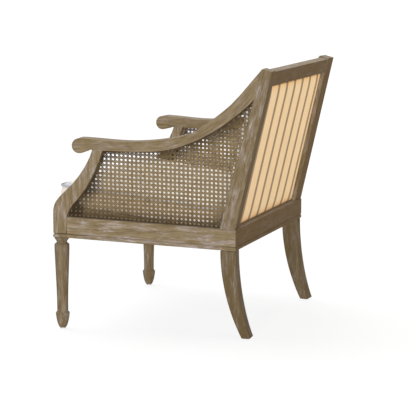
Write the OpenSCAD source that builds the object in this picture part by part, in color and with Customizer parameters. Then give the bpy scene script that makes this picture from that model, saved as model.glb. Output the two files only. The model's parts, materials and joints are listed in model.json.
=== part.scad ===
// Low lounge armchair with a show-wood frame, woven cane sides, a loose seat cushion
// and a fabric-covered back. Millimetres, Z up, front towards -Y, left arm at +X.
// The origin lies on the floor under the middle of the frame.

/* [Overall] */
// Width over the side rails at the back
rear_w = 665; // [620:5:720]
// Width over the arm posts at the front
front_w = 751; // [710:5:800]
// Depth from the front of the posts to the back of the rear rail
frame_d = 556; // [530:2:600]
// Height of the side rails above the floor at the back
rear_leg_h = 260; // [230:2:290]
// Fall of the seat rails towards the back, in degrees
seat_tilt = 1.9; // [0.5:0.1:3]
// Lean of the back, in degrees
back_lean = 13.2; // [9:0.1:16]
// Length of the back stiles along the lean
stile_len = 471; // [440:1:500]

/* [Rails] */
// Height of the seat rails
rail_h = 63; // [55:1:75]
// Thickness of the seat rails
rail_t = 30; // [24:1:36]
// Radius of the bead along the bottom of the rails
bead_r = 6; // [4:0.5:8]
// Depth of the groove above the bead
quirk = 1.5; // [1:0.5:4]
// How far the bead stands proud of the rails
lip = 1; // [0:0.25:2]
// Set-back of the front rail behind the posts
front_rail_set = 6; // [3:1:12]

/* [Arm posts] */
// Depth of the square block at the foot of a post, front to back
block_d = 44; // [40:1:52]
// Width of a post across the chair
post_w = 45; // [40:1:52]
// How far the post sweeps back from the block's front to the underside of the arm
post_sweep = 123; // [105:1:140]
// Sweep of the post's front from the knee to the shin
shin_back = 47; // [36:1:56]
// Height of the shin above the knee
shin_rise = 76; // [66:1:86]
// Sweep of the post's rear above the block
calf_back = 41; // [34:1:48]
// Height of that sweep above the rails
calf_rise = 65; // [56:1:74]
// Depth of the post where it meets the arm
post_neck = 31; // [26:1:38]
// Height of the post's knee above the floor
knee_z = 350; // [346:1:360]

/* [Arms] */
// Height of the underside of the arms
arm_z = 541; // [525:1:560]
// Thickness of an arm at its lowest
arm_t = 28.5; // [25:0.5:34]
// Width of an arm across the chair
arm_w = 48; // [46:1:54]
// Radius of the rounded front end of an arm
nose_r = 22; // [18:0.5:23]
// How far the rounded end reaches in front of the post
nose_reach = 40; // [34:1:50]
// Length of the level stretch of the arm behind the post
arm_level = 118; // [90:1:140]
// How far the underside of the rounded end hangs below the arm
nose_drop = 9.5; // [5:0.5:10]
// Height of the hollow between the rounded end and the post above the arm's underside
nose_hollow = 3; // [1:0.5:5]
// Distance from the rounded end to the lowest place of the arm's top
arm_dip = 144; // [120:2:160]
// Distance from the top of the stile forwards to where the arm starts to climb
arm_climb = 222; // [200:2:240]
// Rise of the arm at that place
arm_rise = 26; // [20:1:32]
// Distance from the top of the stile forwards to the arm's shoulder
shoulder_back = 95; // [80:1:110]
// Drop of the arm's shoulder below the top of the stile
shoulder_drop = 107; // [90:1:120]

/* [Back stiles] */
// Depth of a stile at its foot
stile_d = 43.5; // [38:0.5:48]
// Depth of a stile at its top
stile_top_d = 30; // [26:0.5:34]
// Width of a stile across the chair
stile_w = 50; // [44:1:56]
// Set-back of the stiles inside the outer faces of the rails
stile_set = 0; // [0:0.5:4]
// Set-back of a stile's foot in front of the back of the rear rail
stile_back_set = 2.5; // [0:0.5:5]

/* [Crest and back rails] */
// Height of the crest rail along the lean
crest_h = 43; // [38:1:60]
// Thickness of the crest rail
crest_t = 27; // [20:1:30]
// Drop of the crest below the tops of the stiles
crest_drop = 5; // [2:1:10]
// Set-back of the crest behind the rear faces of the stiles
crest_set = 5; // [3:1:10]
// Height of the lower back rail above the seat rails
low_rail_z = 60; // [40:2:90]
// Height of the lower back rail
low_rail_h = 50; // [40:1:70]
// Thickness of the lower back rail
low_rail_t = 11.5; // [9:0.5:11.5]

/* [Front legs] */
// Largest diameter of a front leg, at its shoulder
leg_d = 44.6; // [40:0.2:48]
// Diameter at the ankle
ankle_d = 33; // [28:0.5:36]
// Diameter of the ring above the foot
foot_ring_d = 41.4; // [38:0.2:46]
// Diameter of the neck under the block
neck_d = 31; // [24:0.5:34]
// Distance from the shoulder of a front leg up to the block
neck_h = 23; // [20:0.5:28]
// Height of the collar between the neck and the block
collar_h = 6.6; // [5:0.2:8]
// Diameter of the foot's tip
tip_d = 19; // [17:0.5:24]
// Height of the foot from its tip to the ring
foot_h = 46; // [36:1:56]
// Distance of a leg's axis behind the front of the block
leg_set = 19; // [18:0.5:24]
// Distance of a leg's axis inside the outer face
leg_in = 21.5; // [20:0.5:25]

/* [Rear legs] */
// Width of a rear leg across the chair
rear_leg_w = 45; // [38:1:50]
// Set-back of the rear legs inside the outer faces of the rails
rear_leg_set = 5; // [1:0.5:8]
// Depth of a rear leg at its top
rear_leg_top = 46; // [40:1:52]
// Depth of a rear leg at the floor
rear_leg_foot = 25; // [20:1:30]
// Set-back of a rear leg's head in front of the back of the rear rail
rear_leg_back_set = 1.5; // [0:0.5:4]
// How far a rear leg kicks out behind the rear rail
rear_kick = 42; // [30:1:55]

/* [Cane] */
// Distance of the cane inside the outer faces
cane_in = 16; // [10:1:22]
// Thickness of the cane
cane_t = 2.4; // [2:0.2:4]
// Distance between the gaps of the weave
cane_pitch = 22.5; // [22:0.5:26]
// Width of one gap
cane_gap = 10.5; // [7:0.5:14]
// Plain margin round the weave
cane_margin = 7; // [5:0.5:12]
// Width of the bead that holds the cane
cane_bead_w = 5; // [4:0.5:10]
// Depth of the bead that holds the cane
cane_bead_d = 8; // [6:0.5:12]

/* [Seat] */
// Height of the seat cushion between its welts
cushion_h = 57; // [50:1:80]
// Rise of the crown of the seat cushion
cushion_crown = 34; // [14:1:40]
// Reach of the seat cushion in front of the posts
cushion_over = 9; // [0:1:14]
// Corner radius of the seat cushion in plan
cushion_r = 18; // [12:1:40]
// Gap between the seat cushion and the arm posts
cushion_side_gap = 9; // [6:1:22]
// Height of the deck's front edge above the tops of the rails
deck_rise = 28; // [22:1:34]
// Fall of the deck's top towards the back, beside that of the rails, in degrees
deck_fall = 5; // [3:0.1:5.5]
// Depth of the deck's underside below the tops of the rails
deck_sink = 24; // [22:1:26]
// Thickness of a layer of webbing
web_t = 1.6; // [1.2:0.2:2.4]
// Width of a strap of webbing
web_w = 50; // [40:1:60]
// Number of straps from front to back
web_long = 5; // [4:1:6]
// Number of straps across the seat
web_cross = 5; // [4:1:5]
// Cross-section of the cleats that carry the webbing
cleat_s = 20; // [16:1:24]
// How far the deck runs on under the inner back pad
deck_under = 20; // [14:1:26]
// Thickness of the cloth under the seat
dust_t = 0.8; // [0.6:0.1:1.2]

/* [Back upholstery] */
// Depth of the outer back cover inside the rear faces of the stiles
cover_set = 14; // [10:1:16]
// Thickness of the board behind the outer back cover
board_t = 3.2; // [2.4:0.2:4]
// Thickness of the padded outer back cover
cover_t = 3; // [2:0.5:4]
// Reach of the inner back pad in front of the stiles at mid height
pad_reach = 41; // [30:1:50]
// Corner radius of the inner back pad
pad_r = 30; // [20:2:50]
// How far the inner back pad reaches below the tops of the rails, along the lean
pad_sink = 8; // [0:1:10]
// Number of upright straps in the back
back_web_up = 4; // [3:1:5]
// Gap between the inner back pad and the stiles
pad_side_gap = 6; // [4:1:12]

/* [Fastenings] */
// Diameter of the dowels
dowel_d = 9; // [8:0.5:10]
// Length of the dowels
dowel_len = 38; // [30:1:40]
// Diameter of the small dowels in the lower back rail
small_dowel_d = 6; // [5:0.5:7]
// Distance between the two dowels of a back rail's joint
dowel_apart = 28; // [24:1:30]
// Length of the dowels between post and arm and between arm and stile
arm_dowel_len = 30; // [24:1:34]
// Distance of an arm's rear dowel above the arm's underside, along the stile
arm_dowel_up = 14; // [12:1:18]
// Length of the dowels of the front rail
front_dowel_len = 36; // [30:1:40]
// Diameter of the bolts that hold the front legs
bolt_d = 8; // [6:1:10]
// Length of the bolts that hold the front legs
bolt_len = 62; // [50:1:70]
// Diameter of the screws in the corner blocks
screw_d = 4; // [3.5:0.5:5]
// Length of the screws in the corner blocks
screw_len = 44; // [38:1:48]
// Width of a corner block across its length
brace_w = 30; // [24:1:34]
// Size of a corner block along the rails
block_leg = 58; // [50:1:66]
// Diameter of the floor glides
glide_d = 16; // [12:1:17]
// Thickness of the floor glides
glide_t = 3; // [2:0.5:5]

/* [Hidden] */

oak = [0.59, 0.52, 0.41];
hidden_wood = [0.78, 0.68, 0.50];
cane_colour = [0.46, 0.39, 0.28];
ivory = [0.90, 0.88, 0.83];
wheat = [0.90, 0.79, 0.61];
steel = [0.62, 0.62, 0.60];
black_cloth = [0.10, 0.10, 0.10];
jute = [0.66, 0.55, 0.38];

// Clearances: in a wooden joint, round a dowel, beside a soft piece, between loose
// wooden pieces inside the frame, and from a back board to its rails
fit_gap = 0.15;
dowel_gap = 0.1;
soft_gap = 0.4;
cleat_gap = 1;
brace_gap = 6;
board_gap = 3;
// Shares of a piece's width at which a pair of dowels or screws goes in
pair_shares = [0.28, 0.72];
curve_steps = 14;
splay = atan((front_w - rear_w) / 2 / frame_d);
side_len = frame_d / cos(splay);
block_back = -side_len + block_d;
seat_slope = tan(seat_tilt);
long = 2000;

// Heights of the rails along a side, at a distance y from the rear corner
function rail_low(y) = rear_leg_h - y * seat_slope;
function rail_top(y) = rail_low(y) + rail_h / cos(seat_tilt);
block_low = rail_low(block_back);
stile_foot = rail_top(0);
top_of_block_rail = rail_top(block_back);

// Half of the clear width between two planes set inside the outer faces of the sides
function half_w(y, inset) = rear_w / 2 - y * tan(splay) - inset / cos(splay);

// Points along a cubic curve
function bez_at(a, b, c, d, t) =
    pow(1 - t, 3) * a + 3 * pow(1 - t, 2) * t * b + 3 * (1 - t) * t * t * c + pow(t, 3) * d;
function bez(a, b, c, d, from = 0, to = 1, n = curve_steps) =
    [for (i = [0:n]) bez_at(a, b, c, d, from + (to - from) * i / n)];
function arc(centre, r, a0, a1, n = curve_steps) =
    [for (i = [0:n]) centre + r * [cos(a0 + (a1 - a0) * i / n), sin(a0 + (a1 - a0) * i / n)]];
function ray(a) = [cos(a), sin(a)];
// A curve that leaves one point and arrives at another at given angles, with handles
// that are shares of the distance between the points
function sweep(a, leave, ka, b, arrive, kb, to = 1, n = curve_steps) = let (far = norm(b - a))
    bez(a, a + ka * far * ray(leave), b - kb * far * ray(arrive), b, 0, to, n);
function drop_first(v) = [for (i = [1:len(v) - 1]) v[i]];
function backwards(v) = [for (i = [len(v) - 1:-1:0]) v[i]];

// An outline drawn in by a distance, with sharp corners; the outline runs anticlockwise
function edge_normal(p, q) = let (d = (q - p) / norm(q - p)) [-d[1], d[0]];
function draw_in(v, dist) = [for (i = [0:len(v) - 1])
    let (a = edge_normal(v[(i + len(v) - 1) % len(v)], v[i]), b = edge_normal(v[i], v[(i + 1) % len(v)]))
    v[i] + dist * (a + b) / (1 + a * b)];
function crossings(p, v) = [for (i = [0:len(v) - 1])
    let (a = v[i], b = v[(i + 1) % len(v)])
    if ((a[1] > p[1]) != (b[1] > p[1]))
        if (p[0] < (b[0] - a[0]) * (p[1] - a[1]) / (b[1] - a[1]) + a[0]) 1];
function inside(p, v) = len(crossings(p, v)) % 2 == 1;

// Outlines of the side, drawn in depth and height from the rear corner
post_top_front = [-side_len + post_sweep, arm_z];
post_top_back = post_top_front + [post_neck, 0];
knee = [-side_len, knee_z];
shin = knee + [shin_back, shin_rise];
block_top = [block_back, top_of_block_rail];
calf = block_top + [calf_back, calf_rise];

function post_front() = concat(
    sweep(knee, 90, 0.38, shin, 43, 0.475),
    drop_first(sweep(shin, 41, 0.288, post_top_front, 75, 0.255)));
function post_rear() = concat(
    sweep(post_top_back, -104, 0.244, calf, -130, 0.256),
    drop_first(sweep(calf, -129, 0.333, block_top, -90, 0.325)));

lean_up = [sin(back_lean), cos(back_lean)];
lean_front = [-cos(back_lean), sin(back_lean)];
function on_back(s, w) = [-stile_back_set, stile_foot] + s * lean_up + w * lean_front;
stile_a = on_back(0, stile_d);
stile_b = on_back(0.3 * stile_len, stile_d);
stile_c = on_back(0.64 * stile_len, 0.62 * stile_top_d + 0.38 * stile_d);
stile_top = on_back(stile_len, stile_top_d);
stile_top_rear = on_back(stile_len, 0);
stile_toe = 2;
stile_front_foot = [stile_a[0] - stile_toe, rail_top(stile_a[0] - stile_toe)];
// Share of the stile's front where the underside of the arm meets it
arm_meets = 0.817;
function stile_low() = bez(stile_a, stile_b, stile_c, stile_top, 0, arm_meets);
function stile_high() = bez(stile_a, stile_b, stile_c, stile_top, arm_meets, 1, 4);
arm_tip = bez_at(stile_a, stile_b, stile_c, stile_top, arm_meets);

level_end = post_top_back + [arm_level, 0];
function arm_under() = sweep(level_end, 0, 0.298, arm_tip, 44, 0.428);
nose_c = post_top_front + [-nose_reach, nose_r - nose_drop];
dip = [nose_c[0] + arm_dip, arm_z + arm_t];
rise = [stile_top[0] - arm_climb, arm_z + arm_t + arm_rise];
shoulder = stile_top - [shoulder_back, shoulder_drop];
function arm_over() = concat(
    sweep(nose_c + [0, nose_r], 0, 0.305, dip, 0, 0.347),
    drop_first(sweep(dip, 0, 0.268, rise, 18, 0.322)),
    drop_first(sweep(rise, 18, 0.206, shoulder, 41, 0.296)),
    drop_first(sweep(shoulder, 43, 0.277, stile_top, 49, 0.307)));
hollow_top = post_top_front + nose_hollow * [-1.2, 1];
hollow_end = post_top_front + nose_hollow * [-0.1, 0.6];
function nose_under() = concat(
    sweep(nose_c - [0, nose_r], 0, 0.42, hollow_top, 14, 0.42, 1, 8), [hollow_end]);

function post_outline() = concat(
    [[-side_len, block_low + face_foot]], [[block_back, block_low + face_foot]],
    backwards(post_rear()), backwards(post_front()));
function arm_outline() = concat(
    [post_top_front], [post_top_back], arm_under(),
    drop_first(stile_high()), drop_first(backwards(arm_over())),
    drop_first(arc(nose_c, nose_r, 90, 270)),
    drop_first(nose_under()));
function stile_outline() = concat(
    [stile_front_foot], [[-stile_back_set, rail_top(-stile_back_set)]], [stile_top_rear],
    backwards(stile_high()), drop_first(backwards(stile_low())));
function opening_outline() = concat(
    [stile_front_foot], stile_low(), drop_first(backwards(arm_under())), [post_top_back],
    drop_first(post_rear()));

// Rear leg, from the floor glides up to the rails
leg_head_rear = [-rear_leg_back_set, rear_leg_h];
leg_head_front = leg_head_rear - [rear_leg_top, 0];
leg_toe_front = [rear_kick - rear_leg_foot, glide_t];
leg_toe_rear = [rear_kick, glide_t];
function rear_leg_outline() = concat(
    sweep(leg_head_front, -90, 0.34, leg_toe_front, -62, 0.312),
    sweep(leg_toe_rear, 112, 0.301, leg_head_rear, 90, 0.307));

// Section of a moulded face: x runs inwards from the outer face, y up from the bottom
bead_top = 2 * bead_r + 0.5;
face_foot = bead_top + quirk + 1;
function moulded_section(depth, height) = concat(
    [[-depth, height], [-depth, 0]],
    arc([lip - bead_r, bead_r], bead_r, -90, 65, 8),
    [[-quirk, bead_top], [0, face_foot], [0, height]]);

// Profile of a front leg as radius and height
front_leg_h = block_low;
shoulder_z = front_leg_h - neck_h;
foot_round = foot_ring_d / 28;
shoulder_round = leg_d / 15;
ring_round = collar_h / 2;
shaft_foot = [ankle_d / 2, foot_h + 8 * foot_round];
shaft_head = [leg_d / 2, shoulder_z - 5 * shoulder_round];
function front_leg_profile() = concat(
    [[0, glide_t]],
    sweep([tip_d / 2, glide_t], 49, 0.207, [foot_ring_d / 2, foot_h], 86, 0.361),
    arc([foot_ring_d / 2 - foot_round, foot_h + foot_round], foot_round, -20, 90, 4),
    [[ankle_d / 2 + foot_round / 2, foot_h + 3 * foot_round], [ankle_d / 2, foot_h + 5 * foot_round]],
    sweep(shaft_foot, 90, 0.346, shaft_head, 88, 0.418),
    arc([leg_d / 2 - shoulder_round, shoulder_z], shoulder_round, 0, 70, 4),
    [[neck_d / 2, front_leg_h - 0.7 * neck_h], [neck_d / 2, front_leg_h - 2 * collar_h]],
    arc([leg_d / 2 - 1.2 * ring_round, front_leg_h - ring_round], ring_round, -60, 80, 6),
    [[0, front_leg_h]]);

// Placing: a side is modelled at the origin with its outer face on x = 0, and its
// inside towards -x, then turned out by the splay and moved to the rear corner
module left_side() {
    translate([rear_w / 2, centre_y, 0]) rotate([0, 0, splay]) children();
}
module right_side() {
    mirror([1, 0, 0]) left_side() children();
}
module pair() {
    for (side = [0, 1]) mirror([side, 0, 0]) children();
}
module both_sides() {
    pair() translate([rear_w / 2, 0, 0]) rotate([0, 0, splay]) children();
}
module middle() {
    translate([0, centre_y, 0]) children();
}
// Turns a flat outline of depth and height into a plate, from one depth inwards
module plate(from, thick) {
    translate([-from - thick, 0, 0]) rotate([90, 0, 90]) linear_extrude(height = thick) children();
}
// A prism as wide as the clear space between the sides
module between(inset, y_front, y_rear, z_low, z_high) {
    translate([0, 0, z_low]) linear_extrude(height = z_high - z_low) polygon([
        [-half_w(y_front, inset), y_front], [half_w(y_front, inset), y_front],
        [half_w(y_rear, inset), y_rear], [-half_w(y_rear, inset), y_rear]]);
}
// The tilted frame of the seat: z = 0 is the plane of the rail tops
module seat_frame() {
    translate([0, 0, stile_foot]) rotate([-seat_tilt, 0, 0]) children();
}
// The leaning frame of the back: y = 0 is the plane of the stiles' rear faces
module back_frame() {
    translate([0, -stile_back_set, stile_foot]) rotate([-back_lean, 0, 0]) children();
}
module pin(d, len, gap = 0) {
    translate([0, 0, -len / 2 - gap]) cylinder(d = d + 2 * gap, h = len + 2 * gap, $fn = 32);
}

// Places of the fastenings, in the frame of a side
module leg_bolt_place() {
    translate([-leg_in, -side_len + leg_set, block_low]) children();
}
module arm_dowel_places() {
    for (share = pair_shares)
        translate([-share * post_w, post_top_front[0] + post_neck / 2, arm_z]) children();
}
module arm_back_place() {
    translate([-stile_set - stile_w / 2, arm_tip[0], arm_tip[1]]) rotate([90 - back_lean, 0, 0])
        translate([0, arm_dowel_up, 0]) children();
}
// Dowels of the rear corner: one in the rear rail and one in the side rail
near_face = rail_t / 2 - 1;
off_corner = rail_t + 5;
module rear_dowel_places() {
    translate([-off_corner, -near_face - 1, 0]) children();
    translate([-near_face, -off_corner, 0]) children();
}
module stile_dowel_places() {
    translate([0, 0, stile_foot]) rear_dowel_places() children();
}
module rear_leg_dowel_places() {
    translate([0, 0, rear_leg_h]) rear_dowel_places() children();
}
// Shares of a rail's height for its dowels, clear of the bead along its foot
high_shares = [0.36, 0.72];
module rail_dowel_places() {
    for (share = high_shares) translate([-rail_t / 2, block_back, block_low + share * rail_h])
        rotate([90, 0, 0]) children();
}
// Dowels of the front rail, in the frame of the left side
front_rail_y = -side_len + front_rail_set + rail_t / 2;
module front_rail_dowel_places() {
    for (share = high_shares) translate([-post_w, front_rail_y, block_low + share * rail_h])
        rotate([0, 90, 0]) children();
}
crest_mid = stile_len - crest_drop - crest_h / 2;
crest_depth = crest_set + crest_t / 2;
// Dowels of the crest, in the frame of the left side, along the width of the chair
module crest_dowel_places() {
    for (s = dowel_apart / 2 * [-1, 1]) let (p = on_back(crest_mid + s, crest_depth))
        translate([-stile_set - stile_w, p[0], p[1]]) rotate([0, 90, 0]) children();
}
low_rail_mid = low_rail_z + low_rail_h / 2;
low_rail_depth = cover_set + board_t + cover_t + fit_gap + low_rail_t / 2;
module low_rail_dowel_places() {
    for (s = dowel_apart / 2 * [-1, 1]) let (p = on_back(low_rail_mid + s, low_rail_depth))
        translate([-stile_set - stile_w, p[0], p[1]]) rotate([0, 90, 0]) children();
}

// Wooden frame
module front_leg_shape() {
    difference() {
        translate([-leg_in, -side_len + leg_set, 0])
            rotate_extrude($fn = 64) polygon(front_leg_profile());
        leg_bolt_place() pin(bolt_d, bolt_len, dowel_gap);
    }
}
module rear_leg_shape() {
    difference() {
        plate(rear_leg_set, rear_leg_w) polygon(rear_leg_outline());
        rear_leg_dowel_places() pin(dowel_d, dowel_len, dowel_gap);
    }
}
// Foot of the post, with the rails' moulding mitred round its outer corner
module moulded_block() {
    intersection() {
        translate([0, block_back, block_low]) rotate([90, 0, 0])
            linear_extrude(height = block_d + 2 * lip) polygon(moulded_section(post_w, face_foot + 1));
        translate([-post_w, -side_len, block_low]) rotate([90, 0, 90]) mirror([1, 0, 0])
            linear_extrude(height = post_w + 2 * lip) polygon(moulded_section(block_d, face_foot + 1));
    }
}
module arm_post_shape() {
    difference() {
        union() {
            plate(0, post_w) polygon(post_outline());
            moulded_block();
        }
        leg_bolt_place() pin(bolt_d, bolt_len, dowel_gap);
        arm_dowel_places() pin(dowel_d, arm_dowel_len, dowel_gap);
        rail_dowel_places() pin(dowel_d, dowel_len, dowel_gap);
        front_rail_dowel_places() pin(dowel_d, front_dowel_len, dowel_gap);
    }
}
module arm_shape() {
    difference() {
        plate(0, arm_w) polygon(arm_outline());
        arm_dowel_places() pin(dowel_d, arm_dowel_len, dowel_gap);
        arm_back_place() pin(dowel_d, arm_dowel_len, dowel_gap);
    }
}
module stile_shape() {
    difference() {
        plate(stile_set, stile_w) polygon(stile_outline());
        stile_dowel_places() pin(dowel_d, dowel_len, dowel_gap);
        arm_back_place() pin(dowel_d, arm_dowel_len, dowel_gap);
        crest_dowel_places() pin(dowel_d, dowel_len, dowel_gap);
        low_rail_dowel_places() pin(small_dowel_d, dowel_len, dowel_gap);
    }
}
// Plan of the inner corner where a side rail meets the rear rail on a mitre
inner_x = half_w(-rail_t, rail_t) - rear_w / 2;
function to_side(p) = [p[0] * cos(splay) + p[1] * sin(splay), -p[0] * sin(splay) + p[1] * cos(splay)];
inner_corner = to_side([inner_x, -rail_t]);
// A length of moulded rail along z, with its outer face on x = 0
module moulded_bar(len) {
    translate([0, 0, -len / 2]) linear_extrude(height = len) polygon(moulded_section(rail_t, rail_h));
}
module side_rail_shape() {
    difference() {
        intersection() {
            translate([0, 0, rear_leg_h]) rotate([90 - seat_tilt, 0, 0]) moulded_bar(long);
            linear_extrude(height = long) polygon([
                [0, block_back + fit_gap], [0, -fit_gap], inner_corner + [0, -2 * fit_gap],
                [-rail_t, block_back + fit_gap]]);
        }
        rail_dowel_places() pin(dowel_d, dowel_len, dowel_gap);
        stile_dowel_places() pin(dowel_d, dowel_len, dowel_gap);
        rear_leg_dowel_places() pin(dowel_d, dowel_len, dowel_gap);
        front_screw_places() pin(screw_d, screw_len, dowel_gap);
        rear_screw_places() pin(screw_d, screw_len, dowel_gap);
    }
}
module front_rail_shape() {
    y_front = -frame_d + front_rail_set;
    difference() {
        intersection() {
            translate([0, y_front, block_low]) rotate([90, 0, -90]) moulded_bar(front_w);
            between(post_w + fit_gap, -frame_d, 0, 0, long);
        }
        both_sides() front_rail_dowel_places() pin(dowel_d, front_dowel_len, dowel_gap);
    }
}
module rear_rail_shape() {
    difference() {
        intersection() {
            translate([0, 0, rear_leg_h]) rotate([90, 0, 90]) moulded_bar(rear_w);
            linear_extrude(height = long) polygon([[-rear_w / 2, 0], [rear_w / 2, 0],
                [rear_w / 2 + inner_x, -rail_t], [-rear_w / 2 - inner_x, -rail_t]]);
        }
        both_sides() {
            stile_dowel_places() pin(dowel_d, dowel_len, dowel_gap);
            rear_leg_dowel_places() pin(dowel_d, dowel_len, dowel_gap);
        }
    }
}
module back_bar(s_low, height, depth, thick) {
    intersection() {
        back_frame() translate([-rear_w / 2, -depth - thick, s_low]) cube([rear_w, thick, height]);
        between(stile_set + stile_w + fit_gap, -frame_d, frame_d, 0, long);
    }
}
module crest_shape() {
    difference() {
        back_bar(stile_len - crest_drop - crest_h, crest_h, crest_set, crest_t);
        both_sides() crest_dowel_places() pin(dowel_d, dowel_len, dowel_gap);
    }
}
module low_rail_shape() {
    difference() {
        back_bar(low_rail_z, low_rail_h, low_rail_depth - low_rail_t / 2, low_rail_t);
        both_sides() low_rail_dowel_places() pin(small_dowel_d, dowel_len, dowel_gap);
    }
}

// Cane side and the bead that holds it
weave_edge = draw_in(opening_outline(), cane_margin);
half_gap = cane_gap / 2;
cane_cols = ceil(side_len / cane_pitch);
cane_rows = ceil(stile_len / cane_pitch);
function outside(c) = [for (u = [-1, 1], v = [-1, 1]) if (!inside(c + half_gap * [u, v], weave_edge)) 1];
function clear_gap(c) = len(outside(c)) == 0;
cane_gaps = [for (i = [0:cane_cols], j = [0:cane_rows])
    let (c = block_top + cane_pitch * [i + 0.7, j])
    if (clear_gap(c)) c];
module cane_shape() {
    plate(cane_in, cane_t) difference() {
        polygon(draw_in(opening_outline(), fit_gap));
        for (c = cane_gaps) translate(c) square(cane_gap, center = true);
    }
}
// A curve moved sideways by a distance and run on at both ends
function moved(v, dist) = let (n = len(v) - 1) [for (i = [0:n])
    let (j = max(i, 1), k = min(i, n - 1), a = edge_normal(v[j - 1], v[j]), b = edge_normal(v[k], v[k + 1]))
    v[i] + dist * (a + b) / (1 + a * b)];
function run_on(v, by) = let (n = len(v) - 1) concat(
    [v[0] - by * (v[1] - v[0]) / norm(v[1] - v[0])], v,
    [v[n] + by * (v[n] - v[n - 1]) / norm(v[n] - v[n - 1])]);
function bead_edge(v) = run_on(moved(v, cane_bead_w), 6 * cane_bead_w);
// The opening less the width of the bead: what lies clear of all four of its sides
module clear_opening() {
    intersection() {
        polygon(concat(bead_edge([block_top, stile_front_foot]), [[long, long], [-long, long]]));
        polygon(concat(bead_edge(stile_low()), [[-long, long], [-long, 0]]));
        polygon(concat(bead_edge(backwards(concat([post_top_back], arm_under()))), [[-long, 0], [long, 0]]));
        polygon(concat(bead_edge(post_rear()), [[long, 0], [long, long]]));
    }
}
// A saw cut across the bead from a corner of the opening, at an angle
module mitre(corner, angle) {
    translate(corner) rotate(angle) translate([-cane_bead_w, -fit_gap])
        square([8 * cane_bead_w, 2 * fit_gap]);
}
module cane_bead_shape() {
    plate(cane_in + cane_t + fit_gap, cane_bead_d) difference() {
        polygon(draw_in(opening_outline(), fit_gap));
        clear_opening();
        mitre(block_top, 48);
        mitre(stile_front_foot, 128);
        mitre(arm_tip, 242);
        mitre(post_top_back, -55);
    }
}

// Blocks and screws inside the corners
block_h = rail_h * 2 / 5;
block_end = brace_w / 2;
front_rail_inside = -frame_d + front_rail_set + rail_t;
module block_level() {
    translate([0, 0, rear_leg_h + bead_r]) children();
}
// A diagonal brace that passes behind the post, in the frame of the whole chair
module front_corner_block() {
    y_near = front_rail_inside + brace_w;
    x_corner = half_w(front_rail_inside, rail_t);
    difference() {
        translate([0, 0, block_low + bead_r]) linear_extrude(height = block_h) polygon([
            [half_w(y_near, rail_t + fit_gap), y_near],
            [half_w(y_near + brace_w, rail_t + fit_gap), y_near + brace_w],
            [x_corner - block_leg, front_rail_inside + fit_gap],
            [x_corner - block_leg + brace_w, front_rail_inside + fit_gap]]);
        translate([rear_w / 2, 0, 0]) rotate([0, 0, splay])
            front_screw_places() pin(screw_d, 2 * screw_len, dowel_gap);
    }
}
module rear_corner_block() {
    difference() {
        block_level() linear_extrude(height = block_h) polygon([
            inner_corner + [-2 * fit_gap, -2 * fit_gap],
            inner_corner + [-2 * fit_gap, -block_leg],
            inner_corner + [-block_end, -block_leg],
            inner_corner + [-block_leg, -block_end],
            inner_corner + to_side([-block_leg, 0]) + [0, -2 * fit_gap]]);
        rear_screw_places() pin(screw_d, 2 * screw_len, dowel_gap);
    }
}
screw_shift = 2;
module screws_through(y, z) {
    for (share = pair_shares) translate([-rail_t - screw_shift, y, z + bead_r + share * block_h])
        rotate([0, 90, 0]) children();
}
module front_screw_places() {
    screws_through(block_back + brace_w, block_low) children();
}
module rear_screw_places() {
    screws_through(inner_corner[1] - block_leg + 1.5 * screw_d, rear_leg_h) children();
}

// Soft forms: a crowned closed body built of rings round a rounded plan whose four
// sides are drawn in between the corners
arc_n = 4;
side_n = 6;
ring_n = 4 * (arc_n + side_n + 1);
function plan_corner(q, wf, wr, d, r) =
    [((q % 4) % 3 == 0 ? 1 : -1) * ((q % 4 < 2 ? wr : wf) - r), (q % 4 < 2 ? 1 : -1) * (d / 2 - r)];
function plan(wf, wr, d, r, draw) = [for (q = [0:3])
    let (c = plan_corner(q, wf, wr, d, r), e = plan_corner(q + 1, wf, wr, d, r), out = ray(90 * (q + 1)))
    each concat(arc(c, r, 90 * q, 90 * (q + 1), arc_n),
        [for (k = [1:side_n]) let (t = k / (side_n + 1))
            (1 - t) * c + t * e + (r - draw * sin(180 * t)) * out])];
// Rings are [share of the plan, height]; the body is closed by a point at each end
module ringed_body(wf, wr, d, r, draw, rings) {
    ring = plan(wf, wr, d, r, draw);
    top = len(rings) - 1;
    pts = concat([[0, 0, rings[0][1]]],
        [for (h = rings, p = ring) [p[0] * h[0], p[1] * h[0], h[1]]],
        [[0, 0, rings[top][1] + rings[top][2]]]);
    last = len(pts) - 1;
    function at(level, k) = 1 + level * ring_n + k % ring_n;
    faces = concat(
        [for (k = [0:ring_n - 1]) [0, at(0, k), at(0, k + 1)]],
        [for (v = [0:top - 1], k = [0:ring_n - 1]) [at(v, k), at(v + 1, k), at(v, k + 1)]],
        [for (v = [0:top - 1], k = [0:ring_n - 1]) [at(v, k + 1), at(v + 1, k), at(v + 1, k + 1)]],
        [for (k = [0:ring_n - 1]) [last, at(top, k + 1), at(top, k)]]);
    polyhedron(points = pts, faces = faces);
}
cushion_draw = 7;
pad_draw = 5;
cushion_front = -frame_d - cushion_over;
pad_front_foot = on_back(0, stile_d + pad_reach)[0];
cushion_rear = pad_front_foot - 10 * soft_gap;
cushion_d = cushion_rear - cushion_front;
cushion_in = post_w + cushion_side_gap;
// The deck's front edge, over the front rail, is where the slope of its top starts
deck_lip = -frame_d + front_rail_set + 2 * cleat_gap;
module deck_frame() {
    seat_frame() translate([0, deck_lip, deck_rise]) rotate([-deck_fall, 0, 0]) children();
}
// Share of its full plan that the cushion has at its lower welt
welt_share = 0.992;
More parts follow.
